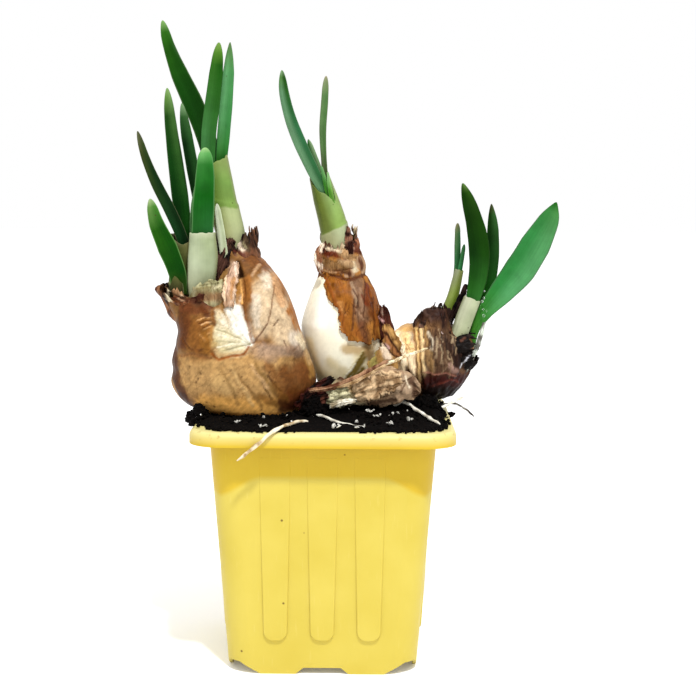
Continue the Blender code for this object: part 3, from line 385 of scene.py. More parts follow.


# The sheaths are pale tubes of living skin that hold each clump of leaves together. Each stands in a bulb's
# neck, with a thin, open mouth, which lip tears down in places. On two of them a collar marks where an outer
# sheath ends. Tones are given upward, for the left and for the right; the two are painted light and shade,
# one side of the tube lit and the other shaded.
FRONT = Vector((0.0, -1.0, 0.0))
SHEATH_WALL = 0.7
SHEATH_POWER = 2.3
SHEATH_MARGIN = "#7C8258"
VEIN = 0.45                         # how far apart the veins stand, and how long one runs
VEIN_LONG = 14.0
SEAM = {"closed": 0.02, "tube": 0.01}        # points that stand closer than this become one
SHEATHS = {
    "sheath_left_front": dict(
        line=((-43.6, -9, 124), (-43.3, -9, 133), (-42.8, -9, 142), (-42.9, -9, 150.7)),
        widths=(7.6, 10, 10.8, 9.4), depths=(7.4, 8.2, 8, 7.2), mouth=0.95, collar=0,
        left="0 #A39A78 0.3 #A6AA88 0.55 #B4BD9C 0.9 #A9B490 1 #C2C9A8",
        right="0 #968B66 0.3 #979A74 0.55 #A6B18C 0.9 #9FAC82 1 #BEC5A2"),
    "sheath_left_back": dict(
        line=((-32.9, 1.9, 138), (-33.7, 1.8, 148), (-36.4, 1.8, 159), (-38.2, 1.8, 168.5),
              (-39.5, 1.8, 177)),
        widths=(9, 9.8, 10.6, 10.2, 9.4), depths=(9, 10, 10.8, 11, 10.6), mouth=0.93, collar=0.56,
        slant=-0.05, lip=(1, 0.97, 0.94, 0.98, 1, 1, 1, 1),
        left="0 #A79D6C 0.3 #A4A56C 0.5 #93A05C 0.52 #6B8838 0.75 #5F8030 1 #7E8E48",
        right="0 #B3AE84 0.3 #AEB484 0.5 #ABB780 0.52 #7C9A4C 0.75 #75984A 1 #8A9C5A"),
    "sheath_left_papery": dict(
        line=((-48.2, 1.6, 123.5), (-48.7, 1.6, 134), (-50, 1.6, 143), (-51, 1.6, 150.5)),
        widths=(8.4, 9.6, 10.2, 9.4), depths=(8, 9, 9.4, 8.8), mouth=0.9, collar=0,
        lip=(0.95, 0.86, 0.8, 0.9, 1, 1, 1, 1), left="0 #4A3820 0.4 #465220 0.75 #525A2C 1 #8A8264",
        right="0 #5A4628 0.4 #6A6C34 0.75 #7C7A48 1 #8E8664"),
    "collar_left": dict(
        line=((-52, -7.4, 124), (-52.2, -7.4, 129.5), (-52.7, -7.4, 135.6)), widths=(5.2, 5.6, 5.6),
        depths=(4.8, 5.2, 5), mouth=0.85, collar=0, lip=(0.7, 0.8, 1, 0.7, 0.85, 1, 1, 1),
        left="0 #22140A 0.5 #33301A 1 #4E5228", right="0 #22140A 0.5 #3C3A1E 1 #5E6034"),
    "sheath_middle": dict(
        line=((4.4, 14, 137), (3.4, 14, 146), (2, 14, 154), (-0.6, 14, 162.5), (-3.2, 14, 171.2)),
        widths=(9.2, 10.4, 10.2, 9.2, 7.2), depths=(9, 9.6, 9.6, 9, 8.4), mouth=0.94, collar=0.42, slant=0.05,
        lip=(1, 0.7, 0.8, 0.9, 0.98, 1, 1, 1),
        left="0 #A09468 0.3 #A3A274 0.4 #A9AB7C 0.42 #6C7A38 0.7 #66752F 1 #5E7030",
        right="0 #A69E74 0.3 #B0B68C 0.4 #B4BE94 0.42 #8BA856 0.7 #8CA860 1 #A3AE88"),
    "sheath_small": dict(
        line=((41.4, 8.8, 112), (43.4, 8.8, 120.2), (46, 8.8, 128), (48, 8.8, 137.2)),
        widths=(5.2, 5, 4.3, 3.4), depths=(5, 5, 5, 5.2), mouth=0.93, collar=0,
        left="0 #8E8C54 0.35 #8FA24C 0.7 #8A9B50 1 #9AA07E",
        right="0 #5A5A2A 0.35 #728A2C 0.7 #6A7E26 1 #7C8448"),
    "sheath_right": dict(
        line=((45.2, 1.8, 106), (47.3, 1.8, 112.5), (49.4, 1.8, 119.3), (52.4, 1.8, 127.4)),
        widths=(6, 6.6, 6.6, 6.4), depths=(6, 6.8, 6.8, 6.6), mouth=0.94, collar=0,
        left="0 #968E66 0.3 #A9AC86 0.6 #BCC09E 1 #C0C4A6",
        right="0 #74704A 0.3 #8C9468 0.6 #AEB590 1 #B4BC98"),
}


def along(points, share):
    """The place at a share of the way along a smooth curve through the points."""
    spans = len(points) - 1
    index = min(int(share * spans), spans - 1)
    local = share * spans - index
    start = Vector(points[index])
    end = Vector(points[index + 1])
    before = Vector(points[index - 1]) if index > 0 else start * 2 - end
    after = Vector(points[index + 2]) if index + 2 <= spans else end * 2 - start
    square = local * local
    return (start * 2 + (end - before) * local + (before * 2 - start * 5 + end * 4 - after) * square
            + (start * 3 - before - end * 3 + after) * square * local) * 0.5


def compass(points, share, facing=FRONT):
    """The heading of that curve, and the side and front directions across it."""
    ahead = (along(points, min(share + 0.01, 1.0)) - along(points, max(share - 0.01, 0.0))).normalized()
    front = (facing - ahead * ahead.dot(facing)).normalized()
    return ahead, ahead.cross(front), front


def mix(values, share):
    """A value read from equally spaced ones."""
    spans = len(values) - 1
    index = min(int(share * spans), spans - 1)
    local = share * spans - index
    return values[index] * (1.0 - local) + values[index + 1] * local


def round_power(angle, power):
    """Cosine and sine pushed towards a square as the power grows past 2."""
    bend = 2.0 / power
    return (math.copysign(abs(math.cos(angle)) ** bend, math.cos(angle)),
            math.copysign(abs(math.sin(angle)) ** bend, math.sin(angle)))


def step_up(low, high, value):
    """From 0 below low to 1 above high, with soft ends."""
    share = min(max((value - low) / (high - low), 0.0), 1.0)
    return share * share * (3.0 - 2.0 * share)


def lay_skin(name, around, upward, place, marks=None, form="closed"):
    """A grid laid over a form, each point placed in mm: a sheet, a tube, or closed, with its ends filled."""
    start_piece()
    bpy.ops.mesh.primitive_grid_add(x_subdivisions=around, y_subdivisions=upward, size=1.0)
    skin = bpy.context.object
    skin.name = name
    bpy.ops.object.mode_set(mode="EDIT")
    shape = bmesh.from_edit_mesh(skin.data)
    layers = {key: shape.verts.layers.float.new(key) for key in marks or {}}
    for vert in shape.verts:
        u = vert.co.x + 0.5
        v = vert.co.y + 0.5
        for key, layer in layers.items():
            vert[layer] = marks[key](u, v)
        vert.co = Vector(place(u, v)) * mm
    bmesh.update_edit_mesh(skin.data)
    if form != "sheet":
        bpy.ops.mesh.select_all(action="SELECT")
        bpy.ops.mesh.remove_doubles(threshold=SEAM[form] * mm)
        if form == "closed":
            bpy.ops.mesh.fill_holes(sides=0)
        bpy.ops.mesh.normals_make_consistent(inside=False)
    bpy.ops.object.mode_set(mode="OBJECT")
    bpy.ops.object.shade_smooth()
    return skin


def veined_skin(name, left, right, margin, wide, long, rough, specks, ribbed):
    """Living leaf skin: waxy, with fine veins along it, painted light and shade across it, a margin and
    specks of soil.
    """
    made, tree, shader = start_material(name, 0.05)
    up = put(tree, "Attribute", out="Fac", attribute_name="upward")
    aside = put(tree, "Attribute", out="Fac", attribute_name="aside")
    place = put(tree, "TexCoord", out="Object")
    # The tones for the left and for the right are painted light and shade: one side lit, the other shaded.
    one, two = [put(tree, "ValToRGB", {"Fac": up}, stops) for stops in (left, right)]
    share = put(tree, "MapRange", {"Value": aside, "From Min": -0.4, "From Max": 0.4},
                interpolation_type="SMOOTHSTEP")
    tone = put(tree, "Mix", {"Factor": share, UNDER: one, OVER: two}, out=BLENDED, data_type="RGBA")
    cloud = put(tree, "TexNoise", {"Vector": place, "Scale": 1.0 / (5.0 * mm), "Detail": 3.0})
    bloom = put(tree, "MapRange", {"Value": cloud, "From Min": 0.3, "From Max": 0.7, "To Min": 0.58,
                                   "To Max": 0.74})
    row = put(tree, "Math", {0: aside, 1: wide / 2 / VEIN}, operation="MULTIPLY")
    reach = put(tree, "Math", {0: up, 1: long / VEIN_LONG}, operation="MULTIPLY")
    strip = put(tree, "CombineXYZ", {"X": row, "Y": reach})
    vein = put(tree, "TexNoise", {"Vector": strip, "Scale": 1.0, "Detail": 2.0})
    ridge = put(tree, "MapRange", {"Value": vein, "From Min": 0.35, "From Max": 0.65, "To Min": 1.0 - ribbed,
                                   "To Max": 1.0 + ribbed})
    shade = put(tree, "Math", {0: bloom, 1: ridge}, operation="MULTIPLY")
    tone = put(tree, "VectorMath", {0: tone, "Scale": shade}, operation="SCALE")
    away = put(tree, "Math", {0: aside}, operation="ABSOLUTE")
    edge = put(tree, "MapRange", {"Value": away, "From Min": 0.8, "From Max": 1.0, "To Max": 0.65},
               interpolation_type="SMOOTHSTEP")
    tone = put(tree, "Mix", {"Factor": edge, UNDER: tone, OVER: margin}, out=BLENDED, data_type="RGBA")
    tone = speckled(tree, place, tone, 2.2, (0.07, 0.13), specks, "#3A2C1C")
    raised = put(tree, "Bump", {"Height": vein, "Strength": 0.35, "Distance": 0.1 * mm})
    wire(tree, shader, {"Base Color": tone, "Roughness": rough, "IOR": 1.42, "Normal": raised})
    return made


def make_sheath(name, spec):
    """A tube with a thin lip: its skin goes up the outside, over the mouth and a little way down inside."""
    line, widths, depths, mouth = [spec[key] for key in ("line", "widths", "depths", "mouth")]
    lips = spec.get("lip", (1.0,) * 8)
    slant = spec.get("slant", 0.0)
    seed = len(name) * 1.7
    long = sum((Vector(b) - Vector(a)).length for a, b in zip(line, line[1:]))

    def place(u, v):
        share = v / mouth if v < mouth else 1.0 - (v - mouth) * 1.2
        inside = step_up(mouth - 0.006, mouth + 0.012, v) * SHEATH_WALL
        cosine, sine = round_power(math.tau * u, SHEATH_POWER)
        sway = noise.noise(Vector((cosine, sine, share * 3.0 + seed)))
        fold = noise.noise(Vector((cosine * 2.6, sine * 2.6, share * 1.2 + seed)))
        share *= mix(lips + lips[:1], u) + 0.02 * noise.noise(Vector((cosine * 2.5, sine * 2.5, seed)))
        share = min(max(share, 0.0), 1.0)
        step = spec["collar"] + slant * cosine + 0.02 * sway
        ring = 0.3 * (1.0 - step_up(step - 0.01, step + 0.01, share)) if spec["collar"] else 0.0
        side, front = compass(line, share)[1:]
        out = 0.12 * sway + 0.16 * fold + ring - 0.15 - inside
        return (along(line, share) + side * cosine * (mix(widths, share) / 2 + out)
                + front * sine * (mix(depths, share) / 2 + out))

    def upward(u, v):
        return min(v / mouth, 1.0) * mix(lips + lips[:1], u) - slant * math.cos(math.tau * u)

    tube = lay_skin(name + "_skin", 96, 84, place, {"upward": upward,
                                                    "aside": lambda u, v: math.cos(math.tau * u)})
    tube.data.materials.append(veined_skin("living_" + name, spec["left"], spec["right"], SHEATH_MARGIN,
                                           mix(widths, 0.5) * 1.4, long, 0.42, 0.12, 0.025))
    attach(tube, "root")
    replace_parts(tube, name)


for name, spec in SHEATHS.items():
    make_sheath(name, spec)


# The leaves are straps of waxy green skin, channelled in front and rounded behind, with blunt tips. They push
# up out of the sheaths. Each has a tone for its left and one for its right, which are painted light and
# shade, the margin that it shows, and cup is its channel's depth.
BLADE_THICK = 1.5
BLADE_EDGE = 0.55
BLADE_TIP = 0.12
BLADE_POWER = 2.6
TIP_CROWD = 1.35                    # how closely the rows of the mesh stand together at the tip
LEAVES = {
    "leaf_left_front": dict(
        line=((-42.8, -9.6, 136), (-42.8, -9.6, 148), (-42.4, -9.5, 159), (-41.8, -9.2, 170),
              (-41.8, -8.8, 180)), widths=(7, 7.6, 7.8, 6.6, 4.6), cup=0.9, margin="#567A4D",
        left="0 #1E531D 0.3 #1F5A21 0.6 #115812 0.85 #337931 0.95 #6AA760 1 #A1C786",
        right="0 #2C6533 0.3 #25632D 0.6 #0E530E 0.85 #256D24 0.95 #579A50 1 #99C27D"),
    "leaf_left_fold": dict(
        line=((-44.6, -7, 138), (-45.6, -7, 150), (-45.4, -6.8, 160), (-44.2, -6.6, 169.6)),
        widths=(3.6, 3.8, 3.4, 1.8), cup=0.2, margin="#637D5B",
        left="0 #1E4F20 0.5 #346530 0.85 #658D5E 1 #8DAC7A", right="0 #144416 0.5 #184C1B 1 #51824B"),
    "leaf_left_low": dict(
        line=((-51, -7.4, 128.5), (-52, -7.4, 136.5), (-55.2, -7.4, 145), (-59, -7.3, 153.4),
              (-61.4, -7, 162.2)), widths=(5.4, 6.2, 7, 5.4, 2.8), cup=0.8, margin="#648A4C",
        left="0 #355819 0.3 #0F4206 0.7 #24590E 0.92 #5F8743 1 #A3B883",
        right="0 #354E13 0.25 #093D04 0.7 #134B07 0.92 #407529 1 #96B077"),
    "leaf_left_long": dict(
        line=((-49.2, -0.4, 137), (-50.6, -0.4, 147), (-54.8, -0.8, 157.4), (-59.7, -1.4, 167.2),
              (-63.4, -2, 176.2), (-66.2, -2.5, 185.7)), widths=(3.6, 4, 4.2, 3.8, 3, 1.8), cup=0.8,
        margin="#54573E", left="0 #082A0D 0.35 #163E1A 0.6 #233C16 0.85 #353F1B 1 #616545",
        right="0 #041D06 0.35 #0B2D0D 0.7 #102D0E 0.9 #31421D 1 #54563A"),
    "leaf_left_upright": dict(
        line=((-49.2, 3.6, 137), (-50.6, 3.8, 150), (-52.2, 4.8, 163), (-53.9, 5.8, 175.5),
              (-55.6, 6.8, 188), (-57, 7.8, 201.3)), widths=(4.6, 5.6, 6, 5.4, 4.4, 2.6), cup=1.2,
        margin="#4A603E", left="0 #0C390A 0.35 #042F04 0.6 #0E3D0B 0.85 #1B4111 0.95 #5A823B 1 #82A562",
        right="0 #154710 0.35 #144510 0.6 #2B561F 0.85 #3C642B 0.95 #658A4B 1 #82A562"),
    "leaf_left_dark": dict(
        line=((-41.6, -1.2, 124), (-42, -0.8, 136), (-42.6, 0, 148), (-45, 1, 160), (-47.2, 1.8, 172),
              (-49.4, 2.6, 184), (-51.3, 3.4, 195.7)), widths=(3.2, 3.2, 3.4, 4, 4.3, 4, 2.6), cup=0.7,
        margin="#3C5538", left="0 #052405 0.4 #032003 0.8 #052405 0.93 #264F21 1 #76986B",
        right="0 #0C350C 0.4 #0A2F0A 0.8 #1F491D 0.93 #335A2C 1 #7B9B6E"),
    "leaf_tall": dict(
        line=((-39, 4.6, 162), (-40.6, 4.9, 173.5), (-43.2, 5.8, 185), (-48, 7.8, 196.5),
              (-52.8, 9.8, 206.5), (-56.8, 11.8, 216.5), (-59.2, 13, 225.4)),
        widths=(4.8, 5.6, 7.2, 7.2, 6.2, 4.2, 2.8), cup=0.7, margin="#566A47",
        left="0 #1B490F 0.3 #103E09 0.6 #124208 0.8 #1E4F0C 0.92 #2E6518 1 #7CA65E",
        right="0 #133B0A 0.3 #0D3506 0.6 #0E3B05 0.8 #174709 0.92 #285D13 1 #7CA65E"),
    "leaf_pair_left": dict(
        line=((-40.2, -0.9, 162), (-41.4, -0.9, 173.5), (-41.3, -1, 184.5), (-40, -1, 195), (-38.6, -1, 206),
              (-37.6, -1, 216.5)), widths=(4.2, 4.8, 5.4, 5.3, 4.8, 3), cup=0.7, margin="#23491D",
        left="0 #407E41 0.35 #3D743D 0.65 #2F6226 0.85 #2C6019 0.93 #4A7826 1 #759948",
        right="0 #337031 0.35 #2E662A 0.65 #255A1A 0.85 #194F0B 0.93 #4A7A24 1 #759948"),
    "leaf_pair_right": dict(
        line=((-38, 1.8, 162), (-37.3, 1.8, 173), (-36.4, 1.7, 184), (-35.4, 1.5, 195), (-34.5, 1.3, 206),
              (-33.9, 1.1, 216.8)), widths=(3.4, 3.8, 4.6, 4.6, 4, 1.6), cup=0.6, margin="#2E5632",
        left="0 #216410 0.25 #317625 0.5 #55965A 0.8 #62A268 0.95 #557F48 1 #5F7A4C",
        right="0 #1D5B10 0.25 #266C1F 0.5 #3C8242 0.8 #478B4D 0.95 #557F48 1 #5F7A4C"),
    "leaf_middle_left": dict(
        line=((1.2, 11.9, 156), (-0.9, 11.8, 164), (-5.2, 11.4, 172.6), (-9.4, 10.9, 181.4),
              (-13, 10, 190.4), (-15.3, 9.2, 199.4), (-16.2, 8.6, 207.8)),
        widths=(3, 3.6, 4.4, 4.6, 4.2, 3.6, 2.4), cup=0.6, margin="#536D50",
        left="0 #557F52 0.3 #5F8A62 0.6 #638C66 0.85 #5C8660 0.95 #4E7A3C 1 #8AAA80",
        right="0 #2A5E30 0.3 #2E6238 0.6 #2F6A40 0.85 #26561E 0.95 #1E4812 1 #6E8E62"),
    "leaf_middle_inner": dict(
        line=((1, 14.1, 156), (-1.2, 14.1, 165.5), (-4, 13.8, 174.6), (-6.9, 13.4, 183.6)),
        widths=(3, 3.4, 3, 1.6), cup=0.4, margin="#627A59", left="0 #134C13 0.5 #0A4914 1 #245F24",
        right="0 #346426 0.5 #57804F 1 #829D73"),
    "leaf_middle_upright": dict(
        line=((1.4, 16.2, 156), (-0.4, 16.2, 167), (-1.3, 16.2, 177), (-1.7, 16.3, 187), (-1.1, 16.5, 197),
              (-0.6, 16.8, 206.4)), widths=(2.4, 2.2, 2.1, 2.6, 2.6, 2.2), cup=0.3, margin="#69594A",
        left="0 #4C6429 0.25 #585C3F 0.5 #547545 0.85 #5D7F4D 0.96 #849369 1 #9A9275",
        right="0 #39541D 0.25 #45522F 0.5 #486D39 0.85 #4D7340 0.96 #79885E 1 #9A9275"),
    "leaf_small": dict(
        line=((46, 9.9, 129), (47.2, 9.8, 137), (47.3, 9.4, 145.5), (47.2, 9, 153.9)),
        widths=(2, 2.2, 2.3, 1.8), cup=0.1, margin="#3B4B32",
        left="0 #37743E 0.5 #376E42 0.85 #587449 1 #807A56",
        right="0 #1C562D 0.5 #1B5227 0.85 #355F38 1 #666542"),
    "leaf_small_edge": dict(
        line=((46.2, 7.7, 129), (48.1, 7.6, 137), (49.6, 7, 146.4)), widths=(1.6, 1.8, 1.3), cup=0.1,
        margin="#213B23", left="0 #246531 0.5 #347D48 1 #376338", right="0 #164D24 0.5 #1A562B 1 #28512C"),
    "leaf_right_broad": dict(
        line=((49.8, 2.2, 117.5), (52.2, 2.4, 125.5), (54.2, 3.8, 134), (54.9, 5.8, 142.5), (53.9, 7.4, 151),
              (51.6, 8.8, 159.8), (48.8, 9.8, 168.2)), widths=(4.2, 4.8, 6.6, 7.4, 7, 5.4, 2.6), cup=0.9,
        margin="#1A3110", left="0 #367A34 0.25 #1E5315 0.5 #082E03 0.75 #0F2F02 0.93 #123403 1 #39581E",
        right="0 #44873E 0.25 #296122 0.5 #153F06 0.75 #173A06 0.93 #24480C 1 #5B7A3A"),
    "leaf_right_upright": dict(
        line=((50.4, 9, 106.5), (53, 9.2, 114), (56.2, 9.6, 122.6), (58.8, 10.4, 132), (60, 11.4, 141.6),
              (60.2, 12.2, 151.2), (59.6, 13, 160.8)), widths=(3.4, 3.6, 4.4, 5, 5, 4.2, 2), cup=0.8,
        margin="#214620", left="0 #174E0B 0.4 #114908 0.75 #052B03 0.93 #14340A 1 #383920",
        right="0 #205A14 0.4 #185015 0.75 #1E471A 0.93 #2D5626 1 #444627"),
    "leaf_right_arching": dict(
        line=((52, 5, 107), (53.8, 4.2, 116), (57.2, 3, 122.6), (62.6, 1.6, 129.6), (68.8, 0, 137.8),
              (74, -1.4, 146.8), (78.4, -2.4, 155.4), (81, -3, 161.8)),
        widths=(2.2, 3.2, 5.6, 9, 11.2, 10.8, 7.6, 2.6), cup=1.2, margin="#3E563B",
        left="0 #4A8324 0.25 #357C26 0.45 #2D8039 0.75 #307F3D 0.92 #357838 1 #195A0D",
        right="0 #4B832B 0.25 #3C8533 0.45 #56A263 0.75 #4E9156 0.92 #417F3F 1 #195A0D"),
    "sheath_margin": dict(
        line=((-34.9, -5.7, 130.6), (-35.5, -5.5, 140.6), (-36.8, -5.2, 150.6), (-38.2, -5, 160.6)),
        widths=(2.6, 2.8, 2.8, 1.8), cup=0.1, margin="#C9D2B4", slot="sheath",
        left="0 #B9B890 0.5 #CBD2B2 0.9 #D3DCBC 1 #E1E7D0",
        right="0 #A4A47C 0.5 #B2BC96 0.9 #C0CCA5 1 #D9DDC6"),
}
MIDDLE_TIPS = (
    dict(
        line=((1.6, 12, 157), (0.6, 11, 163.5), (-0.8, 10.6, 169), (-2, 10.8, 174)),
        widths=(2.6, 2.2, 1.6, 0.9), cup=0.3, margin="#5F8E4A", left="0 #4C8A1E 0.6 #2F6E1E 1 #5E9A5E",
        right="0 #2E6212 0.6 #4E8A3C 1 #7AAA70"),
    dict(
        line=((2.2, 11.4, 157), (1.7, 10.2, 163), (0.8, 9.8, 167.8), (0.3, 10.4, 172)),
        widths=(2.4, 1.8, 1.4, 0.8), cup=0.3, margin="#7FAE5C", left="0 #5E9A28 0.5 #3E7E20 1 #8AB67C",
        right="0 #3E7418 0.5 #6E9E44 1 #9CC08C"),
)


def make_leaf(name, spec):
    """A strap leaf: a lens-shaped section carried up its middle line, with a soft channel and a blunt tip."""
    line, widths = spec["line"], spec["widths"]
    widest = max(widths)
    seed = len(name) * 2.3 + line[0][0]
    long = sum((Vector(b) - Vector(a)).length for a, b in zip(line, line[1:]))

    def place(u, v):
        share = 1.0 - (1.0 - v) ** TIP_CROWD
        side, front = compass(line, share)[1:]
        wide = mix(widths, share)
        near_tip = max(share - 1.0 + BLADE_TIP, 0.0) / BLADE_TIP
        rounding = max(math.sqrt(max(1.0 - near_tip * near_tip, 0.0)), 0.02)
        cosine, sine = round_power(math.tau * u, BLADE_POWER)
        thick = BLADE_EDGE + (min(BLADE_THICK, wide * 0.42) - BLADE_EDGE) * (1.0 - cosine * cosine)
        cup = spec["cup"] * (wide / widest) ** 2 * rounding
        keel = 0.16 * math.exp(-(cosine / 0.16) ** 2) * (1.0 if sine > 0 else -1.0)
        ripple = 0.22 * noise.noise(Vector((cosine, share * 7.0, seed)))
        swell = 1.0 + 0.03 * noise.noise(Vector((share * 6.0, seed, 3.0)))
        return (along(line, share) + side * cosine * wide / 2 * rounding * swell
                + front * (cup * cosine * cosine + ripple * rounding - keel * rounding
                           + math.copysign(abs(sine) ** 0.8, sine) * thick / 2 * rounding ** 0.7))

    strap = lay_skin(name + "_blade", 36, 96, place, {"upward": lambda u, v: 1.0 - (1.0 - v) ** TIP_CROWD,
                                                      "aside": lambda u, v: math.cos(math.tau * u)})
    strap.data.materials.append(veined_skin("living_" + name, spec["left"], spec["right"], spec["margin"],
                                            widest, long, 0.38, 0.02, 0.06))
    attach(strap, "root")
    return strap


for name, spec in LEAVES.items():
    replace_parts(make_leaf(name, spec), name)
for k, tip in enumerate(MIDDLE_TIPS):
    make_leaf("leaf_middle_tip_%d" % (k + 1), tip)


# Drops of water cling to the foot of the arching leaf. Water is clear and smooth, so that each drop is a
# bright bead. The table gives each one's place and half width.
WATER_DROPS = ((56.6, 0.2, 130, 0.3), (56.4, 0.2, 127.6, 0.35), (55.8, 0.2, 126.4, 0.45),
               (56.2, 0.2, 123.4, 0.4), (57.4, 0.2, 122.8, 0.3), (56.4, 0.4, 121.2, 0.5))
water, tree, shader = start_material("clear_water", 0.5)
wire(tree, shader, {"Base Color": "#FFFFFF", "Roughness": 0.02, "IOR": 1.33, "Transmission Weight": 1.0})
for k, (x, y, z, size) in enumerate(WATER_DROPS):
    start_piece()
    bpy.ops.mesh.primitive_uv_sphere_add(segments=20, ring_count=12, radius=size * mm,
                                         location=(x * mm, y * mm, z * mm), scale=(0.9, 0.6, 1.2))
    drop = place_in_mesh(bpy.context.object)
    drop.name = "water_drop_%d" % (k + 1)
    bpy.ops.object.shade_smooth()
    drop.data.materials.append(water)
    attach(drop, "root")


# The roots are thin cords of living tissue, drying to cream and brown. They lie in and on the soil, and one
# hangs over the rim.
ROOTS = {
    "root_front": dict(
        line=((-3, -26, 85.6), (-7, -30.6, 87.9), (-11.4, -38, 87.9), (-15.6, -44.6, 87.1),
              (-19, -46.3, 84.6), (-23.4, -46.2, 80.8), (-28, -46.2, 77.2)), size=1.4),
    "root_right": dict(
        line=((23, -8, 89), (27.4, -10.6, 91.6), (32, -17, 90), (36, -24, 88.4), (39.6, -31, 87.2)),
        size=1.3),
    "root_back": dict(
        line=((37, -6, 87.4), (41.4, -4.4, 88.6), (44.6, -2.4, 89.9), (49.6, -0.6, 92)), size=1.2),
    "root_dark": dict(
        line=((37, 2.6, 87.2), (42, 2, 88.6), (46.6, 1.2, 89.3), (50.2, 0.6, 87.6), (53.6, 0, 84.6)),
        size=0.9),
    "root_middle": dict(
        line=((-5, -16, 86.6), (-1, -22, 88.4), (3.6, -29.6, 87.9), (9.6, -35, 87.2), (17, -38.4, 87)),
        size=1.2),
}


def make_root(name, spec):
    """A thin round cord that swells and narrows as it goes, with one bent, tapered end."""
    line = spec["line"]
    seed = len(name) * 3.1

    def place(u, v):
        side, front = compass(line, v, Vector((0.3, 0.5, 0.8)))[1:]
        wide = spec["size"] / 2 * (0.85 + 0.3 * noise.noise(Vector((v * 11.0, seed, 0.0))))
        wide *= min(1.0, 0.3 + (1.0 - v) * 9.0)
        wander = Vector((noise.noise(Vector((v * 9.0, seed, 1.0))), noise.noise(Vector((v * 9.0, seed, 2.0))),
                         noise.noise(Vector((v * 9.0, seed, 3.0))))) * 0.35
        return (along(line, v) + wander + side * math.cos(math.tau * u) * wide
                + front * math.sin(math.tau * u) * wide)

    cord = lay_skin(name + "_strand", 12, 72, place)
    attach(cord, "root")
    return cord


def root_skin(name, stops):
    """Root skin: white while it lives, stained brown in patches as it dries, and dull."""
    made, tree, shader = start_material(name)
    place = put(tree, "TexCoord", out="Object")
    stain = put(tree, "TexNoise", {"Vector": place, "Scale": 1.0 / (3.5 * mm), "Detail": 4.0})
    wire(tree, shader, {"Base Color": put(tree, "ValToRGB", {"Fac": stain}, stops), "Roughness": 0.55})
    return made


drying = root_skin("drying_root", "0.28 #6E5438 0.38 #A38C68 0.48 #CDBD9E 0.7 #E6DDCA")
living = root_skin("white_root", "0.3 #8E8678 0.45 #C9C4B4 0.7 #E4E2D8")
dead = root_skin("dead_root", "0.35 #1A1614 0.5 #4A443E 0.62 #B4B0A8")
root_finish = {"root_dark": dead, "root_front": drying}
for name, spec in ROOTS.items():
    cord = make_root(name, spec)
    cord.data.materials.append(root_finish.get(name, living))
    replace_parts(cord, name)


# The soil is dark, damp peat with fibres and white perlite in it. It fills the pot, lies heaped under the
# bulbs on the right, and has spilled over the rim in crumbs.
SOIL_LEVEL = 87.2
SOIL_LOWEST = 86.8
SOIL_MOUND = 4.6
SOIL_HALF = 37.0
SOIL_SPILL = 4.6
SOIL_POWER = 6.0
FLOOR_PART, WALL_PART, LEDGE_PART = 0.1, 0.2, 0.23      # where the skin's floor, wall and ledge end


def soil_height(x, y):
    """Level soil with a heap on the right and lumps all over."""
    heap = SOIL_MOUND * math.exp(-((x - 21.0) / 20.0) ** 2 - ((y - 3.0) / 17.0) ** 2)
    heap += 4.2 * math.exp(-((x - 37.0) / 8.0) ** 2 - ((y + 1.0) / 9.0) ** 2)
    lumps = noise.noise(Vector((x, y, 3.0)) * 0.19) + 0.7 * noise.noise(Vector((x, y, 9.0)) * 0.43)
    return max(SOIL_LEVEL + heap + 0.9 * lumps, SOIL_LOWEST)


def soil_place(u, v):
    """From the floor's middle up the wall, out over the rim, and in to the middle of the top."""
    cosine, sine = round_power(math.tau * u, SOIL_POWER)
    low_half = FOOT_HALF - WALL - 0.8
    ragged = (1.6 * noise.noise(Vector((cosine, sine, 0.5)) * 5.0)
              + 1.2 * noise.noise(Vector((cosine, sine, 4.0)) * 17.0)
              + 0.8 * noise.noise(Vector((cosine, sine, 8.0)) * 40.0))
    reach = SOIL_HALF + SOIL_SPILL + ragged + (1.2 if cosine < -0.75 else 0.0)
    if v < FLOOR_PART:
        half = low_half * v / FLOOR_PART
        height = FLOOR_TOP + 0.3
    elif v < WALL_PART:
        share = (v - FLOOR_PART) / (WALL_PART - FLOOR_PART)
        half = low_half + (SOIL_HALF - low_half) * share
        height = FLOOR_TOP + 0.3 + (POT_HEIGHT - FLOOR_TOP) * share
    elif v < LEDGE_PART:
        half = SOIL_HALF + (reach - SOIL_HALF) * (v - WALL_PART) / (LEDGE_PART - WALL_PART)
        height = POT_HEIGHT + 0.25
    else:
        share = 1.0 - (v - LEDGE_PART) / (1.0 - LEDGE_PART)
        half = reach * share
        x, y = cosine * half, sine * half
        crumb = (0.6 * noise.noise(Vector((x, y, 1.0)) * 0.9)
                 + 0.5 * abs(noise.noise(Vector((x, y, 5.0)) * 1.7))
                 + 0.25 * noise.noise(Vector((x, y, 7.0)) * 3.3))
        edge = step_up(0.0, 3.0, reach - half)
        height = (POT_HEIGHT + 0.3 + (soil_height(x, y) + crumb - POT_HEIGHT - 0.3) * edge
                  + 0.25 * abs(ragged) * (1 - edge))
    return cosine * half, sine * half, height


soil = lay_skin("peat_fill", 290, 166, soil_place)

# Damp peat is near black, crumbly and dull, with brown fibres where it has dried.
peat, tree, shader = start_material("damp_peat", 0.05)
place = put(tree, "TexCoord", out="Object")
crumb = put(tree, "TexNoise", {"Vector": place, "Scale": 1.0 / (1.2 * mm), "Detail": 6.0, "Roughness": 0.7})
tone = put(tree, "ValToRGB", {"Fac": crumb}, "0.35 #010101 0.58 #070403 0.7 #140B07 0.8 #2E2016")
raised = put(tree, "Bump", {"Height": crumb, "Strength": 0.8, "Distance": 0.5 * mm})
wire(tree, shader, {"Base Color": tone, "Roughness": 0.8, "Normal": raised})
soil.data.materials.append(peat)
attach(soil, "root")
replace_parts(soil, "soil")


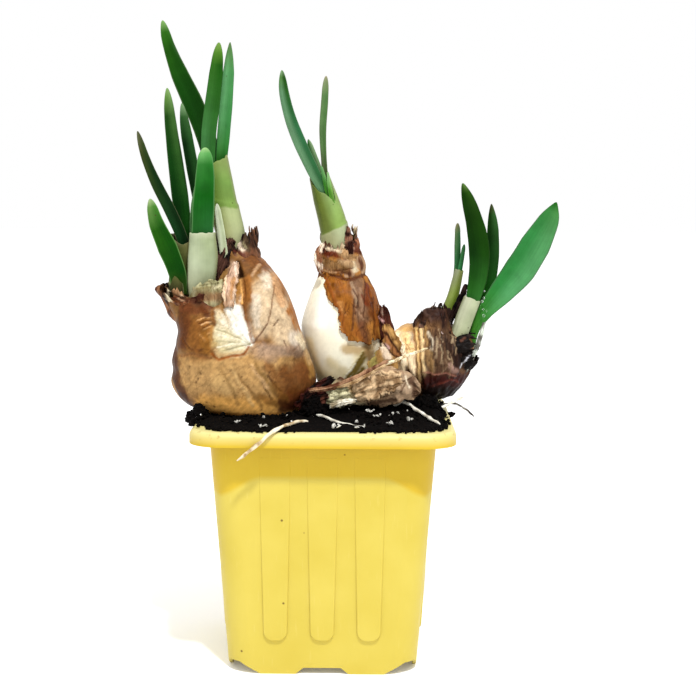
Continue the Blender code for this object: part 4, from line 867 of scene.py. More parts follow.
def scatter(name, spots, grain, flat, seed):
    """Many small lumps of one sort in one mesh: a rough ball is made once, then copied, turned and sized."""
    draw = random.Random(seed)
    start_piece()
    bpy.ops.mesh.primitive_ico_sphere_add(subdivisions=1, radius=1.0)
    ball = bpy.context.object
    for vert in ball.data.vertices:
        vert.co *= 1.0 + 0.45 * noise.noise(vert.co * 1.3 + Vector((seed, 0.0, 0.0)))
    heap = bmesh.new()
    for x, y, z in spots:
        size = grain * draw.uniform(0.45, 1.35)
        turn = Matrix.Rotation(draw.uniform(0.0, math.tau), 4,
                               (draw.random(), draw.random(), draw.random() + 0.1))
        stretch = Matrix.Diagonal((size * draw.uniform(0.8, 1.6), size, size * flat, 1.0))
        before = len(heap.verts)
        heap.from_mesh(ball.data)
        heap.verts.ensure_lookup_table()
        bmesh.ops.transform(heap, matrix=Matrix.Scale(mm, 4) @ Matrix.Translation((x, y, z)) @ turn @ stretch,
                            verts=heap.verts[before:])
    heap.to_mesh(ball.data)
    heap.free()
    ball.name = name
    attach(ball, "root")
    return ball


def on_soil(draw, low, high):
    """A random place on the soil or on the rim, at a share of the way out."""
    cosine, sine = round_power(draw.uniform(0.0, math.tau), SOIL_POWER)
    half = draw.uniform(low, high)
    x, y = cosine * half, sine * half
    return x, y, (soil_height(x, y) + 0.3 if half < SOIL_HALF else POT_HEIGHT + 0.5)


draw = random.Random(4)
spill = [on_soil(draw, 38.5, 43.6) for k in range(420)] + [on_soil(draw, 15.0, 39.0) for k in range(520)]
crumbs = scatter("spilled_crumbs", spill, 0.62, 0.8, 3)
crumbs.data.materials.append(peat)

# Expanded perlite is popped volcanic glass, chalk white and full of pores, greyed by the wet peat.
PERLITE_LUMPS = ((15.6, -17), (12.2, -39.6), (19.4, -22.1), (24.8, -17), (22.6, -34.2), (5.2, -39.6),
                 (-20.1, -39.6), (28.5, -24))
perlite, tree, shader = start_material("expanded_perlite")
place = put(tree, "TexCoord", out="Object")
bubble = put(tree, "TexNoise", {"Vector": place, "Scale": 1.0 / (0.6 * mm), "Detail": 3.0})
wire(tree, shader, {"Base Color": put(tree, "ValToRGB", {"Fac": bubble}, "0.35 #6E6A60 0.62 #D6D4CC"),
                    "Roughness": 0.85})
grains = scatter("perlite_grains", [on_soil(draw, 6.0, 37.0) for k in range(44)], 0.62, 0.6, 8)
grains.data.materials.append(perlite)
spots = [(x + draw.gauss(0.0, 1.0), y + draw.gauss(0.0, 1.0), soil_height(x, y) + 0.6)
         for x, y in PERLITE_LUMPS for k in range(4)]
crushed = scatter("perlite_lumps", spots, 0.6, 0.4, 10)
crushed.data.materials.append(perlite)


# The left bulb is double-nosed: living white scales in a dry brown skin, the tunic, that has split in front
# and torn off at both necks. Its bodies, of level sections (height, left, right, front, back), are grown
# together, then creased and coloured.
BULB_POWER = 2.15
LEFT_BODY = (
    (79, -32, -16, -11, 7), (82.5, -34.5, -11, -16, 10), (86.6, -36, -9, -19.6, 12), (88, -44.6, -8, -21, 13),
    (91.4, -51, -6, -22, 14), (97, -54.6, -3, -22.5, 14.5), (102, -54, -3.8, -22.5, 14.5),
    (106, -54.4, -5.3, -22, 14), (112, -52.4, -8, -20.5, 12.5), (117, -48, -14, -17, 9),
    (120, -42, -20, -11, 3),
)
LEFT_NOSE = (
    (101, -50, -30, -16, 8), (107, -52.6, -25.5, -19.5, 9), (112, -52.6, -25.2, -20.2, 9),
    (116, -52, -26.6, -19.5, 9), (120, -53.4, -28.6, -17.8, 9), (124.5, -55.6, -31, -16.2, 8.4),
    (128, -56.6, -33.6, -15.2, 7.8),
)
RIGHT_NOSE = (
    (101, -25, -8, -16, 10), (110, -24.6, -6.9, -19, 11), (116.6, -26.4, -9.1, -18.6, 11),
    (123, -28.4, -11.2, -17, 10.6), (130, -30.8, -14.1, -14.4, 10), (135, -33, -17.3, -11.6, 9.4),
    (140, -36.4, -21.6, -7.8, 9), (144.5, -39, -26.6, -4.8, 8.6),
)
SADDLE = (
    (106, -45, -20, -17.5, 6), (114, -44.4, -21, -17.4, 6.4), (121, -42.4, -22.6, -16, 6.6),
    (127, -40.6, -23.6, -13.8, 6.4), (133, -39, -25.2, -10.6, 5.8), (138.4, -37.2, -28.2, -7.4, 4.6),
)


def strokes(table):
    """Marks on a skin, one a line: half width, colour, strength, relief, and a path by across and height."""
    marks = []
    for line in table.strip().splitlines():
        radius, colour, strength, relief, *path = line.split()
        numbers = [float(word) for word in path]
        marks.append((tuple(zip(numbers[::2], numbers[1::2])), float(radius), colour, float(strength),
                      float(relief)))
    return tuple(marks)


# Some marks here are painted light and shade: the dark strokes down the left edge (#42220F, #56301A, #3E2010)
# are painted shade where the bulb turns away, the pale orange lines on the upper-left lobe (#D9A468, #E0B07A,
# D09A5C) are painted highlights on its wrinkles, with painted shade (#5E3212) between them, and the
# near-black stroke in the crease (#241208) is painted shade.
LEFT_PAINT = strokes("""
    3.2 #4A2416 0.95 -0.1  -53.5 128.5  -48 127.5  -38 128
    1 #7A4526 0.8 0.1  -52 126.5  -46.5 125.5
    0.4 #C9A07C 0.8 0.2  -51.5 128  -48.5 127
    12 #BC935C 0.9 0.2  -46.5 101.5  -15.5 102
    1.5 #42220F 0.85 0  -50 123.5  -53 110  -53 99.5  -48 89
    1 #7A4A22 0.7 0  -23 143  -13.5 133.5  -7.5 118  -3 104.5  -4 96
    2.6 #BC945E 0.7 0.1  -43 106  -29.5 105
    2.4 #8A5A2E 0.8 -0.1  -19.5 105  -12 92.5
    5 #B08A58 0.7 0.2  -45 102.5  -40.5 100.5
    5 #C39E66 0.7 0.2  -35.5 100  -33 98
    4.5 #E0A656 0.9 0  -41.5 92  -18 91.5
    2.6 #56301A 0.95 0  -52.5 109.5  -51.5 99  -48.5 92.5
    2 #3E2010 0.9 0  -50 94  -46.5 90.5  -42 87.5
    1.2 #8A5A20 0.8 0  -44.5 88.5  -15.5 88
    6 #70401C 0.9 -0.3  -8.5 103  -4.5 97.5
    4 #6A2E16 0.85 0  -13.5 95  -6.5 93.5
    3 #3A180C 0.9 0  -14.5 90  -8.5 91.5
    0.6 #4E2E14 0.8 -0.3  -19.5 102  -14.5 96
    0.4 #5E3C1A 0.8 -0.3  -21.5 100  -18 93.5
    1.8 #AE8040 0.8 0.2  -5.5 107  -3.5 101
    4.2 #683A14 0.9 -0.2  -14 103  -11 97
    2.6 #7A5020 0.8 -0.1  -17 98.5  -14 93
    1.1 #84602F 0.6 -0.1  -23.5 106  -20 100.5  -17 96
    1 #7E5A30 0.65 -0.15  -29.5 102.5  -25 96.5  -21.5 91.5
    1.1 #D4AE74 0.6 0.15  -32 105  -28 98.5  -24.5 92
    1.2 #7E5228 0.6 -0.15  -20 107  -16 101.5  -13.5 96.5
    1 #8E6A3A 0.55 -0.15  -35.5 105  -32 98  -29.5 92
    0.9 #CDA678 0.5 0.2  -25 105.5  -19.5 98
    8 #805021 0.95 0.2  -45.5 118  -43 112
    2.4 #8E5C24 0.8 0.1  -41 120  -39.5 112.5
    3.4 #5E3216 0.9 0  -48 123.5  -49.5 112
    3 #8A5A22 0.8 0  -41 115.5  -40.5 110.5
    0.5 #C08A50 0.6 0.2  -43 116  -41 114
    0.45 #5C3416 0.8 -0.25  -49 114  -46 110.5  -42 110.5
    0.9 #8E5E34 0.7 -0.35  -50 108  -46 109  -39 108
    0.36 #D9A468 0.85 0.35  -44 120.5  -41.5 121.5  -38 121.5
    0.38 #E0B07A 0.85 0.35  -42.5 119  -40.5 120  -37.5 120
    0.34 #D9A468 0.8 0.3  -41.5 117.5  -39.5 118.5  -37.5 118.5
    0.3 #D09A5C 0.7 0.3  -40.5 116  -37.5 117
    0.3 #5E3212 0.85 -0.35  -43.5 119.5  -41 120.5  -38 120.5
    0.3 #5E3212 0.8 -0.35  -42 118  -39.5 119.5  -37.5 119.5
    2.4 #6A3A1E 0.9 0  -49 125  -44.5 124  -39.5 125.5
    3.2 #4E2C1C 0.85 0  -44.5 127.5  -39 128.5
    3 #CDBE92 0.9 -0.3  -36.5 121.5  -36 112  -32 110.5
    1.6 #B89A62 0.7 0  -38 120  -38 112.5
    5 #DED2AE 0.95 -0.35  -35 117.5  -29 112.5
    2.6 #FFFDF0 0.95 -0.25  -31.5 126.5  -29 120  -26 113.5
    2.2 #FAF4E0 0.9 -0.3  -33 127.5  -30 128
    1.8 #DCC9A4 0.8 0  -37 123.5  -35.5 120
    0.75 #8E4E1C 0.95 -0.35  -38.5 109.5  -36 107.5  -31.5 109  -27.5 109.5  -26 112
    0.7 #C9A877 0.7 0.1  -37.5 110.5  -36 108.5  -31.5 110  -28 110.5
    0.4 #9A9068 0.7 -0.3  -25.5 113  -31.5 116  -37 118
    0.4 #A89E76 0.7 -0.3  -25.5 113  -31.5 113.5  -38 114
    0.4 #8E845C 0.7 -0.3  -25.5 113  -30 112  -35.5 110.5
    0.4 #B0A682 0.7 -0.3  -25.5 113  -30 118  -34.5 123.5
    0.45 #F2EBD2 0.7 0.2  -26.5 114  -32 117.5  -36.5 121
    0.45 #EFE6CA 0.7 0.2  -27 113  -32 113  -37 111.5
    0.4 #EFE6CA 0.6 0.2  -27 114  -32.5 115  -37 116
    2.6 #C29C7C 0.9 0.2  -32.5 139  -32 131
    1.4 #A8722C 0.9 0  -30.5 133.5  -30 127
    0.7 #F0B266 0.95 0.5  -29.5 134.5  -29 130.5  -28.5 126.5
    1.4 #241208 0.95 -0.8  -30.5 140  -29.5 135.5
    0.6 #8A5426 0.8 -0.6  -28.5 134  -28 128  -27 121  -25 113.5
    6 #D8BE9A 0.9 0.1  -21.5 130.5  -21.5 119
    6 #D6BC98 0.9 0.1  -15.5 124.5  -14 115.5
    2.4 #E8D6BC 0.8 0.15  -21 137  -20 132.5
    2.6 #A66A30 0.9 0  -27 134  -26 128
    2.4 #EEDCC2 0.85 0  -24 128.5  -23.5 119.5
    3.6 #7A4A26 0.95 0  -27 142.5  -21 139
    3 #4A2A18 0.9 0  -29 145  -25 144.5
    0.6 #B48458 0.8 0.2  -23.5 142.5  -21.5 140
    0.8 #D2A87E 0.7 0.25  -23.5 139  -25.5 136
    2 #96602E 0.9 0  -21.5 141  -18 137.5
    2.6 #B2702C 0.95 0.1  -17 137  -12.5 130  -9.5 122.5  -7.5 116
    1.6 #D8A676 0.75 0  -18.5 135.5  -16.5 130.5  -14.5 126
    2.2 #A4601C 0.9 0  -12 123.5  -10 120.5
    1.2 #E2C088 0.8 0.2  -8 120.5  -6.5 112.5
    0.42 #5E3820 0.85 -0.3  -24.5 113  -21.5 117  -19.5 120
    0.32 #7A5232 0.8 -0.3  -19.5 120  -18.5 124.5  -18 129  -17.5 132.5
    0.4 #5A3A24 0.8 -0.3  -17.5 119  -16 121
    0.35 #5A3A24 0.7 -0.3  -14 114  -12.5 111
    2.6 #E4D4BE 0.8 0.1  -11 115.5  -9 111
    3 #A58A74 0.85 0.1  -21 111  -9 110
    2 #8A6A50 0.7 0  -12 110.5  -7 108.5
    0.4 #6A4A30 0.6 -0.2  -11 110  -8 112.5
    3.4 #AE8E70 0.7 0  -23.5 110.5  -18 108.5
    1.8 #FBF8EA 0.85 0  -33.4 124  -31.6 120  -29.4 117
    1.2 #EEE2C8 0.8 0  -35.6 122  -34 119.5
    1.3 #7A4A1C 0.9 0  -38.6 123  -38.2 119.5
    1 #A87636 0.85 0  -38.8 118.5  -38.6 114.5
    1.5 #5A2C0C 0.9 0  -42.4 124.8  -40.6 122.6
    1.7 #F0DCB6 0.85 0.1  -9.2 114.4  -7.6 110.8
    1.3 #D0AC78 0.8 0.1  -6.6 109  -4.8 105.4
    1.7 #AE8854 0.6 0  -42 105.6  -30 104.6
    2 #7A4E20 0.75 0  -22 94.8  -16.5 92
    1.8 #3A180A 0.8 0  -15 92.6  -11 90
""")
LEFT_SPECKS = ((-42.5, 102.5), (-43.5, 100.5), (-44, 99.5), (-40.5, 92.5), (-38, 91), (-28, 102), (-23, 103),
               (-21.5, 90), (-30.5, 94.5), (-34.5, 100), (-26, 98), (-46.5, 104.5), (-39, 96.5), (-32, 104),
               (-19, 103), (-36, 95))


def level_of(sections, share):
    """The section at a share of the way up a body, eased between its rows."""
    spans = len(sections) - 1
    index = min(int(share * spans), spans - 1)
    local = share * spans - index
    rows = [sections[min(max(index + step, 0), spans)] for step in (-1, 0, 1, 2)]
    return [0.5 * (2 * b + (c - a) * local + (2 * a - 5 * b + 4 * c - d) * local ** 2
                   + (3 * b - a - 3 * c + d) * local ** 3) for a, b, c, d in zip(*rows)]


def stacked(name, sections, around=72, upward=60, seed=0.0):
    """A closed body of level sections, with shallow upright ridges."""
    def place(u, v):
        height, left, right, front, back = level_of(sections, min(max((v - 0.05) / 0.9, 0.0), 1.0))
        close = min(v, 1.0 - v) / 0.05
        close = math.sin(min(close, 1.0) * math.pi / 2) if close < 1.0 else 1.0
        cosine, sine = round_power(math.tau * u, BULB_POWER)
        ridge = 0.3 * noise.noise(Vector((cosine * 2.4, sine * 2.4, height * 0.03 + seed)))
        return ((left + right) / 2 + cosine * ((right - left) / 2 + ridge) * close,
                (front + back) / 2 + sine * ((back - front) / 2 + ridge) * close, height)

    return lay_skin(name, around, upward, place)


def grow_together(piece, others, grain, rounds):
    """Skins that overlap become one: remeshed at a fine grain and smoothed where they meet."""
    start_piece()
    for item in [piece] + others:
        item.select_set(True)
    bpy.context.view_layer.objects.active = piece
    bpy.ops.object.join()
    remesh = piece.modifiers.new("remesh", "REMESH")
    remesh.mode = "VOXEL"
    remesh.voxel_size = grain * mm
    even = piece.modifiers.new("even", "SMOOTH")
    even.iterations = rounds
    even.factor = 0.5
    apply_all(piece)
    bpy.ops.object.shade_smooth()


def paint_skin(piece, grounds, marks, lumps=0.12, front=True, dim=1.0, grain=(6.0, 14.0, 1.2), dark_below=0.0):
    """Colour a skin and set it in relief: a mottled ground, then soft marks on the side that faces front."""
    mesh = piece.data
    count = len(mesh.vertices)
    spots = np.empty(count * 3)
    mesh.vertices.foreach_get("co", spots)
    spots = spots.reshape(-1, 3) / mm
    normals = np.empty(count * 3)
    mesh.vertices.foreach_get("normal", normals)
    normals = normals.reshape(-1, 3)

    def cloud(wide, tall, seed):
        return np.array([noise.noise(Vector((x / wide, y / wide, z / tall + seed))) for x, y, z in spots])

    mottle = np.clip(cloud(grain[0], grain[1], 3.0) * grain[2] + 0.5, 0.0, 1.0)[:, None]
    tone = np.array(linear(grounds[0]))[:3] * mottle + np.array(linear(grounds[1]))[:3] * (1.0 - mottle)
    lift = lumps * cloud(2.2, 5.0, 9.0)
    sway = 0.9 * cloud(3.0, 3.0, 20.0)
    shake = 0.35 * cloud(0.8, 0.8, 40.0)
    facing = np.clip((0.45 - normals[:, 1]) / 0.5, 0.0, 1.0) if front else np.ones(count)
    for path, radius, colour, strength, relief in marks:
        away = np.full(count, 1e9)
        wobble = min(radius / 2.0 + 0.1, 1.0)
        across = spots[:, 0] + wobble * (sway + shake)
        upward = spots[:, 2] + wobble * (0.7 * sway - shake)
        for start, end in zip(path, path[1:] if len(path) > 1 else path):
            run = (end[0] - start[0], end[1] - start[1])
            size = max(run[0] ** 2 + run[1] ** 2, 1e-9)
            near = np.clip(((across - start[0]) * run[0] + (upward - start[1]) * run[1]) / size, 0.0, 1.0)
            away = np.minimum(away, np.hypot(across - start[0] - near * run[0],
                                             upward - start[1] - near * run[1]))
        share = np.clip((radius - away) / (radius * 0.75), 0.0, 1.0)
        share = share * share * (3.0 - 2.0 * share) * facing
        tone += (np.array(linear(colour))[:3] - tone) * (share * strength)[:, None]
        lift += relief * share
    # Below a given height the skin darkens to near black, raggedly, towards its foot.
    if dark_below:
        darkening = np.clip((dark_below - spots[:, 2] + 1.6 * sway + 4.0 * shake) / 1.4, 0.0, 1.0)[:, None]
        tone += (np.array(linear("#0E0806"))[:3] - tone) * darkening
    spots += normals * lift[:, None]
    mesh.vertices.foreach_set("co", (spots * mm).ravel())
    layer = mesh.attributes.new("tone", "FLOAT_COLOR", "POINT")
    layer.data.foreach_set("color", np.hstack([tone * dim, np.ones((count, 1))]).ravel())
    mesh.update()


def papery_skin(name, rough, fibre=0.5, spread=(0.78, 1.16), depth=0.12, patch=(0.84, 1.12), tilt=0.0,
                cracks=0.75):
    """Dry bulb skin: thin, brittle and satiny, with fibres along it that catch the light, and dark cracks."""
    made, tree, shader = start_material(name, 0.06)
    place = put(tree, "TexCoord", out="Object")
    tone = put(tree, "Attribute", out="Color", attribute_name="tone")
    drawn = put(tree, "Mapping", {"Vector": place, "Rotation": (0.0, tilt, 0.0), "Scale": (1.0, 1.0, 6.0)},
                vector_type="TEXTURE")
    strand = put(tree, "TexNoise", {"Vector": drawn, "Scale": 1.0 / (fibre * mm), "Detail": 3.0,
                                    "Roughness": 0.6})
    grain = put(tree, "TexNoise", {"Vector": place, "Scale": 1.0 / (1.6 * mm), "Detail": 4.0})
    for pattern, low, high, shades in ((strand, 0.3, 0.7, spread), (grain, 0.35, 0.65, patch)):
        shade = put(tree, "MapRange", {"Value": pattern, "From Min": low, "From Max": high,
                                       "To Min": shades[0], "To Max": shades[1]})
        tone = put(tree, "VectorMath", {0: tone, "Scale": shade}, operation="SCALE")
    bend = put(tree, "TexNoise", {"Vector": place, "Scale": 1.0 / (3.0 * mm), "Detail": 3.0}, out="Color")
    bent = put(tree, "VectorMath", {0: bend, 1: (3.4 * mm,) * 3, 2: place}, operation="MULTIPLY_ADD")
    long = put(tree, "Mapping", {"Vector": bent, "Rotation": (0.0, tilt, 0.0), "Scale": (1.0, 1.0, 3.2)},
               vector_type="TEXTURE")
    split = put(tree, "TexVoronoi", {"Vector": long, "Scale": 1.0 / (2.6 * mm)}, out="Distance",
                feature="DISTANCE_TO_EDGE")
    line = put(tree, "MapRange", {"Value": split, "From Max": 0.07, "To Min": 1.0, "To Max": 0.0})
    region = put(tree, "TexNoise", {"Vector": place, "Scale": 1.0 / (8.0 * mm), "Detail": 2.0})
    where = put(tree, "MapRange", {"Value": region, "From Min": 0.4, "From Max": 0.62, "To Max": cracks})
    crack = put(tree, "Math", {0: line, 1: where}, operation="MULTIPLY")
    dark = put(tree, "VectorMath", {0: tone, 1: (0.36, 0.27, 0.2)}, operation="MULTIPLY")
    tone = put(tree, "Mix", {"Factor": crack, UNDER: tone, OVER: dark}, out=BLENDED, data_type="RGBA")
    polish = put(tree, "MapRange", {"Value": grain, "From Min": 0.3, "From Max": 0.7, "To Min": rough - 0.1,
                                    "To Max": rough + 0.12})
    sunk = put(tree, "Math", {0: crack, 1: -1.2, 2: strand}, operation="MULTIPLY_ADD")
    raised = put(tree, "Bump", {"Height": sunk, "Strength": 0.6, "Distance": depth * mm})
    wire(tree, shader, {"Base Color": tone, "Roughness": polish, "IOR": 1.45, "Normal": raised})
    return made


left_bulb = stacked("left_bulb", LEFT_BODY, 96, 70)
noses = [stacked("nose", sections, seed=seed) for sections, seed in ((LEFT_NOSE, 2.0), (RIGHT_NOSE, 4.0),
                                                                     (SADDLE, 6.0))]
grow_together(left_bulb, noses, 0.5, 6)
specks = tuple(((place,), 0.55, "#5E4026", 0.85, -0.15) for place in LEFT_SPECKS)
paint_skin(left_bulb, ("#A87C46", "#7A5028"), LEFT_PAINT + specks, dim=0.74, dark_below=88.0)
left_bulb.data.materials.append(papery_skin("brown_bulb_tunic", 0.42, fibre=1.1, spread=(0.8, 1.14),
                                            tilt=0.75, patch=(0.78, 1.14), cracks=0.4))
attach(left_bulb, "root")
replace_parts(left_bulb, "bulb_left")


# Where a neck has dried it is torn into brittle, crumpled cuffs, one inside another. The left nose carries a
# curled brown one with a tan fan in it, the right nose a black one, and a pink sheet hangs between them.
# Their skin is satiny and deeply wrinkled.
SCRAP_WALL = 0.3
dry_brown = papery_skin("torn_bulb_tunic", 0.42, depth=0.16)


def close_sheet(piece, wall):
    """Give a thin sheet its thickness, half to each side, with its faces outward."""
    skin = piece.modifiers.new("wall", "SOLIDIFY")
    skin.thickness = wall * mm
    skin.offset = 0.0
    apply_all(piece)
    bpy.ops.object.mode_set(mode="EDIT")
    bpy.ops.mesh.select_all(action="SELECT")
    bpy.ops.mesh.normals_make_consistent(inside=False)
    bpy.ops.object.mode_set(mode="OBJECT")


def torn_cuff(name, line, widths, depths, teeth, seed, grounds, marks, fold, ragged, rolls=0.0):
    """A crumpled cuff round a line; teeth give its torn mouth's height, from the right round by the front."""
    def place(u, v):
        cosine, sine = math.cos(math.tau * u), math.sin(math.tau * u)
        torn = noise.noise(Vector((cosine * 3.0, sine * 3.0, seed)))
        torn += 0.8 * noise.noise(Vector((cosine * 9.0, sine * 9.0, seed)))
        share = v * min(max(mix(teeth + teeth[:1], u) + ragged * torn, 0.12), 1.0)
        ahead, side, front = compass(line, share)
        crumple = noise.noise(Vector((cosine * 2.4, sine * 2.4, share * 2.0 + seed)))
        crumple += 0.7 * noise.noise(Vector((cosine * 6.0, sine * 6.0, share * 4.0 + seed)))
        crumple += rolls * math.sin(share * 11.0
                                    + 2.5 * noise.noise(Vector((cosine * 1.5, sine * 1.5, seed))))
        crumple *= fold * (0.35 + 0.65 * v)
        rise = 0.5 * fold * noise.noise(Vector((cosine * 4.0, sine * 4.0, share * 9.0 + seed)))
        return (along(line, share) + ahead * rise + side * cosine * (mix(widths, share) / 2 + crumple)
                + front * sine * (mix(depths, share) / 2 + crumple))

    cuff = lay_skin(name, 128, 27, place, form="tube")
    paint_skin(cuff, grounds, marks, lumps=0.2, front=False, grain=(1.5, 3.0, 1.9))
    close_sheet(cuff, SCRAP_WALL)
    cuff.data.materials.append(dry_brown)
    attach(cuff, "root")
    return cuff


def torn_sheet(name, line, widths, seed, grounds, marks, bulge=1.0, fold=0.7):
    """A loose strip of dry skin up a line, bulging forward and crumpled, with torn sides."""
    def place(u, v):
        ahead, side, front = compass(line, v)
        torn = Vector((v * 9.0, seed, 1.0 if u > 0.5 else 5.0))
        half = mix(widths, v) / 2 * (1.0 + 0.3 * noise.noise(torn) + 0.25 * noise.noise(torn * 3.1))
        crease = noise.noise(Vector((u * 5.0, v * 2.5, seed)))
        crease += 0.5 * noise.noise(Vector((u * 13.0, v * 6.0, seed)))
        tear = 1.2 * noise.noise(Vector((u * 9.0, seed, 2.0))) * abs(2.0 * v - 1.0)
        return (along(line, v) + ahead * tear + side * (2.0 * u - 1.0) * half
                + front * (bulge * math.cos((u - 0.5) * 2.6) + fold * crease))

    sheet = lay_skin(name, 30, 56, place, form="sheet")
    paint_skin(sheet, grounds, marks, lumps=0.15, front=False, grain=(2.0, 3.0, 2.2))
    close_sheet(sheet, SCRAP_WALL)
    sheet.data.materials.append(dry_brown)
    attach(sheet, "root")
    return sheet


# The small cream mark on the pink flaps (#E0C4A0) is a painted highlight.
FRILL_PAINT = strokes("""
    0.9 #140C08 0.95 0  -57.5 133  -56.5 129  -55 125.5
    1.2 #CDC2A2 0.9 0.2  -55 130  -54 127
    1.4 #B08660 0.85 0.2  -53 131.5  -50.5 129.5  -48 130.5
    0.9 #8A5438 0.9 0.1  -52.5 128  -49.5 127  -46.5 127.5
    0.4 #E0C4A0 0.8 0.2  -50 129  -47.5 130
    2.4 #3A1A12 0.95 -0.3  -45.5 127.5  -41.5 129.5  -37.5 129.5
    1.6 #5A3018 0.9 0  -44 125.5  -37.5 126
    1.6 #B8A88A 0.9 0.2  -37 131  -34 127
""")
FAN_PAINT = strokes("""
    3 #9C9872 0.9 0  -45 134  -37 133
    0.5 #3E3822 0.95 -0.2  -44.5 135.5  -41 136.5  -37.5 135
    0.35 #57502F 0.8 -0.2  -44 134  -38 134
    0.4 #57502F 0.8 -0.2  -43 132.5  -37 133.5
    0.6 #7A6E48 0.9 -0.1  -44 131.5  -39 132
    2.6 #7A5A3C 0.9 0  -43 128.5  -35.5 128.5
    1 #B8AE8A 0.9 0.2  -38.5 132  -35.5 132.5
""")
# The cream mark on the dark crumpled neck (#E0CDB4) is a painted highlight.
NECK_PAINT = strokes("""
    4 #22130D 0.8 0  -36 143.5  -27.5 147.5
    2 #6E4630 0.9 0.1  -30.5 142  -27 143.5
    1.2 #E0CDB4 0.9 0.2  -30.5 146.5  -29 144.5
    0.7 #D8B8A8 0.9 0.2  -33.5 142.5  -31.5 140
    1 #4A3A28 0.9 0.2  -28.5 150.5  -27.5 144
    0.5 #9A8E6A 0.8 0.2  -29 147.5  -28 145
    0.8 #52241A 0.8 0.1  -32 144  -29 142.5
""")
PINK_PAINT = strokes("""
    2 #B8967E 0.9 0.1  -32.5 140  -33.5 131
    0.6 #D9C2AE 0.9 0.2  -31.5 140.5  -31 136
    0.4 #6A4632 0.85 -0.2  -33 138.5  -34.5 133.5
    0.9 #D9BE9C 0.9 0.2  -34.5 135  -35 127.5
    1 #B08050 0.85 0  -32 134.5  -32.5 128
""")

torn_cuff("left_neck_cuff", ((-43.2, -4.2, 121), (-45, -4, 127), (-46, -4.2, 133.6)), (19.8, 22.6, 26.6),
          (21, 23, 25.6), (0.78, 0.8, 0.5, 0.8, 1, 0.9, 0.8, 0.7), 5, ("#8E6240", "#43200F"), FRILL_PAINT,
          fold=1.5, ragged=0.26, rolls=0.5)
torn_cuff("left_neck_lining", ((-43.6, -4.2, 123), (-44.8, -4, 128), (-45.4, -4.2, 133)), (20.6, 21, 22.6),
          (20.6, 21, 22), (0.8, 0.85, 0.5, 1, 1, 0.9, 0.8, 0.7), 23, ("#6A4A2E", "#1E0E08"), FRILL_PAINT,
          fold=1.5, ragged=0.3)
torn_cuff("left_neck_fan", ((-41.6, -9.4, 124), (-40.8, -9.8, 129.6), (-40.6, -9.6, 134.6)), (12.2, 13.2, 13),
          (10.2, 11.6, 11.6), (0.98, 1, 0.93, 0.62, 0.2, 0.3, 0.5, 0.9), 9, ("#9A9270", "#7A6E4A"), FAN_PAINT,
          fold=0.5, ragged=0.12, rolls=0.8)
torn_cuff("right_neck_cuff", ((-29, 1, 138), (-31.4, 1.6, 144.6), (-31.2, 1.8, 152.4)), (12.6, 14.4, 13.6),
          (13.6, 15, 13.4), (1, 0.85, 0.5, 0.62, 0.75, 0.6, 0.7, 0.9), 3, ("#6A4630", "#170C08"), NECK_PAINT,
          fold=1.5, ragged=0.25, rolls=0.4)
torn_cuff("right_neck_lining", ((-31, 1.2, 138), (-32.6, 1.8, 143.4), (-32.2, 2, 150)), (14.6, 13.2, 12),
          (14.8, 13.4, 12), (0.85, 0.8, 0.7, 0.85, 0.8, 0.7, 0.7, 0.8), 7, ("#4A3226", "#0E0705"), NECK_PAINT,
          fold=1.2, ragged=0.3)
torn_sheet("left_neck_sheet",
           ((-33, -14.6, 125.2), (-33.2, -13.8, 130), (-32.4, -11.4, 135), (-31.2, -8.8, 139.8)),
           (2.8, 4.6, 4.2, 2.2), 3, ("#CDB096", "#A07E62"), PINK_PAINT)


# The middle bulb shows its living flesh, firm, white and moist. Dry rust-brown skin still covers its right
# half and stands up round its neck in torn folds.
MIDDLE_BODY = (
    (86.5, 3, 11, 10, 18), (91.5, -1, 15, 4, 24), (97, -4, 18, 1.4, 26.6), (101.5, -5.9, 19.6, 0.2, 27.8),
    (109, -8.4, 21, -0.4, 28.4), (114.5, -9.3, 20.6, -0.4, 28.4), (119, -8.8, 19.6, 0.2, 27.8),
    (127.5, -5.9, 17.2, 2.6, 25.2), (131.5, -4.2, 15.4, 4.8, 23), (136, -2.6, 13, 6.6, 21.4),
    (143, -2.2, 11.2, 7.6, 20.4),
)
FLESH_PAINT = strokes("""
    12 #EDE7D2 0.9 0  -9 115.5  1.5 108.5
    4 #F7F3E6 0.8 0.1  -1.5 126.5  -2.5 117.5
    3.5 #F2DCA8 0.9 0  -7 110.5  -3.5 99.5
    4 #EBD9A6 0.8 0  -4 100.5  4.5 97.5
    1.6 #DEB47A 0.8 0  -6.5 105  -5 97
    3.2 #D8CBA0 0.8 0  -5 97.5  5.5 95.5
    6 #E6E2CC 0.8 0  3.5 112  9.5 99.5
    4 #C9BC96 0.9 0  15 108.5  16.5 100.5
    2.4 #DCCFA8 0.85 0  9.5 110  14.5 100.5
    0.6 #7A5A34 0.8 -0.15  15 111  16.5 100
    2.2 #DACCAE 0.7 0  12.5 110  17.5 110.5
    1.2 #8E6A3A 0.7 0  -2.5 96  7 95.5
    3.2 #C9BA90 0.85 0  1.5 104  6 100.5
    3 #AE9264 0.85 0  7.5 109  15 108
    2.2 #86683E 0.8 0  15 110  17 101.5
    1 #5E4C1E 1 0.2  7.5 98  10.5 102  13.5 107.5
    1.2 #6A5826 1 0.2  9 97.5  11.5 102  14 106
    1.4 #6A5826 1 0.2  10.5 97.5  13 101.5
    0.35 #C2B486 0.8 0.1  5.5 98  10 103.5  13.5 108.5
""")
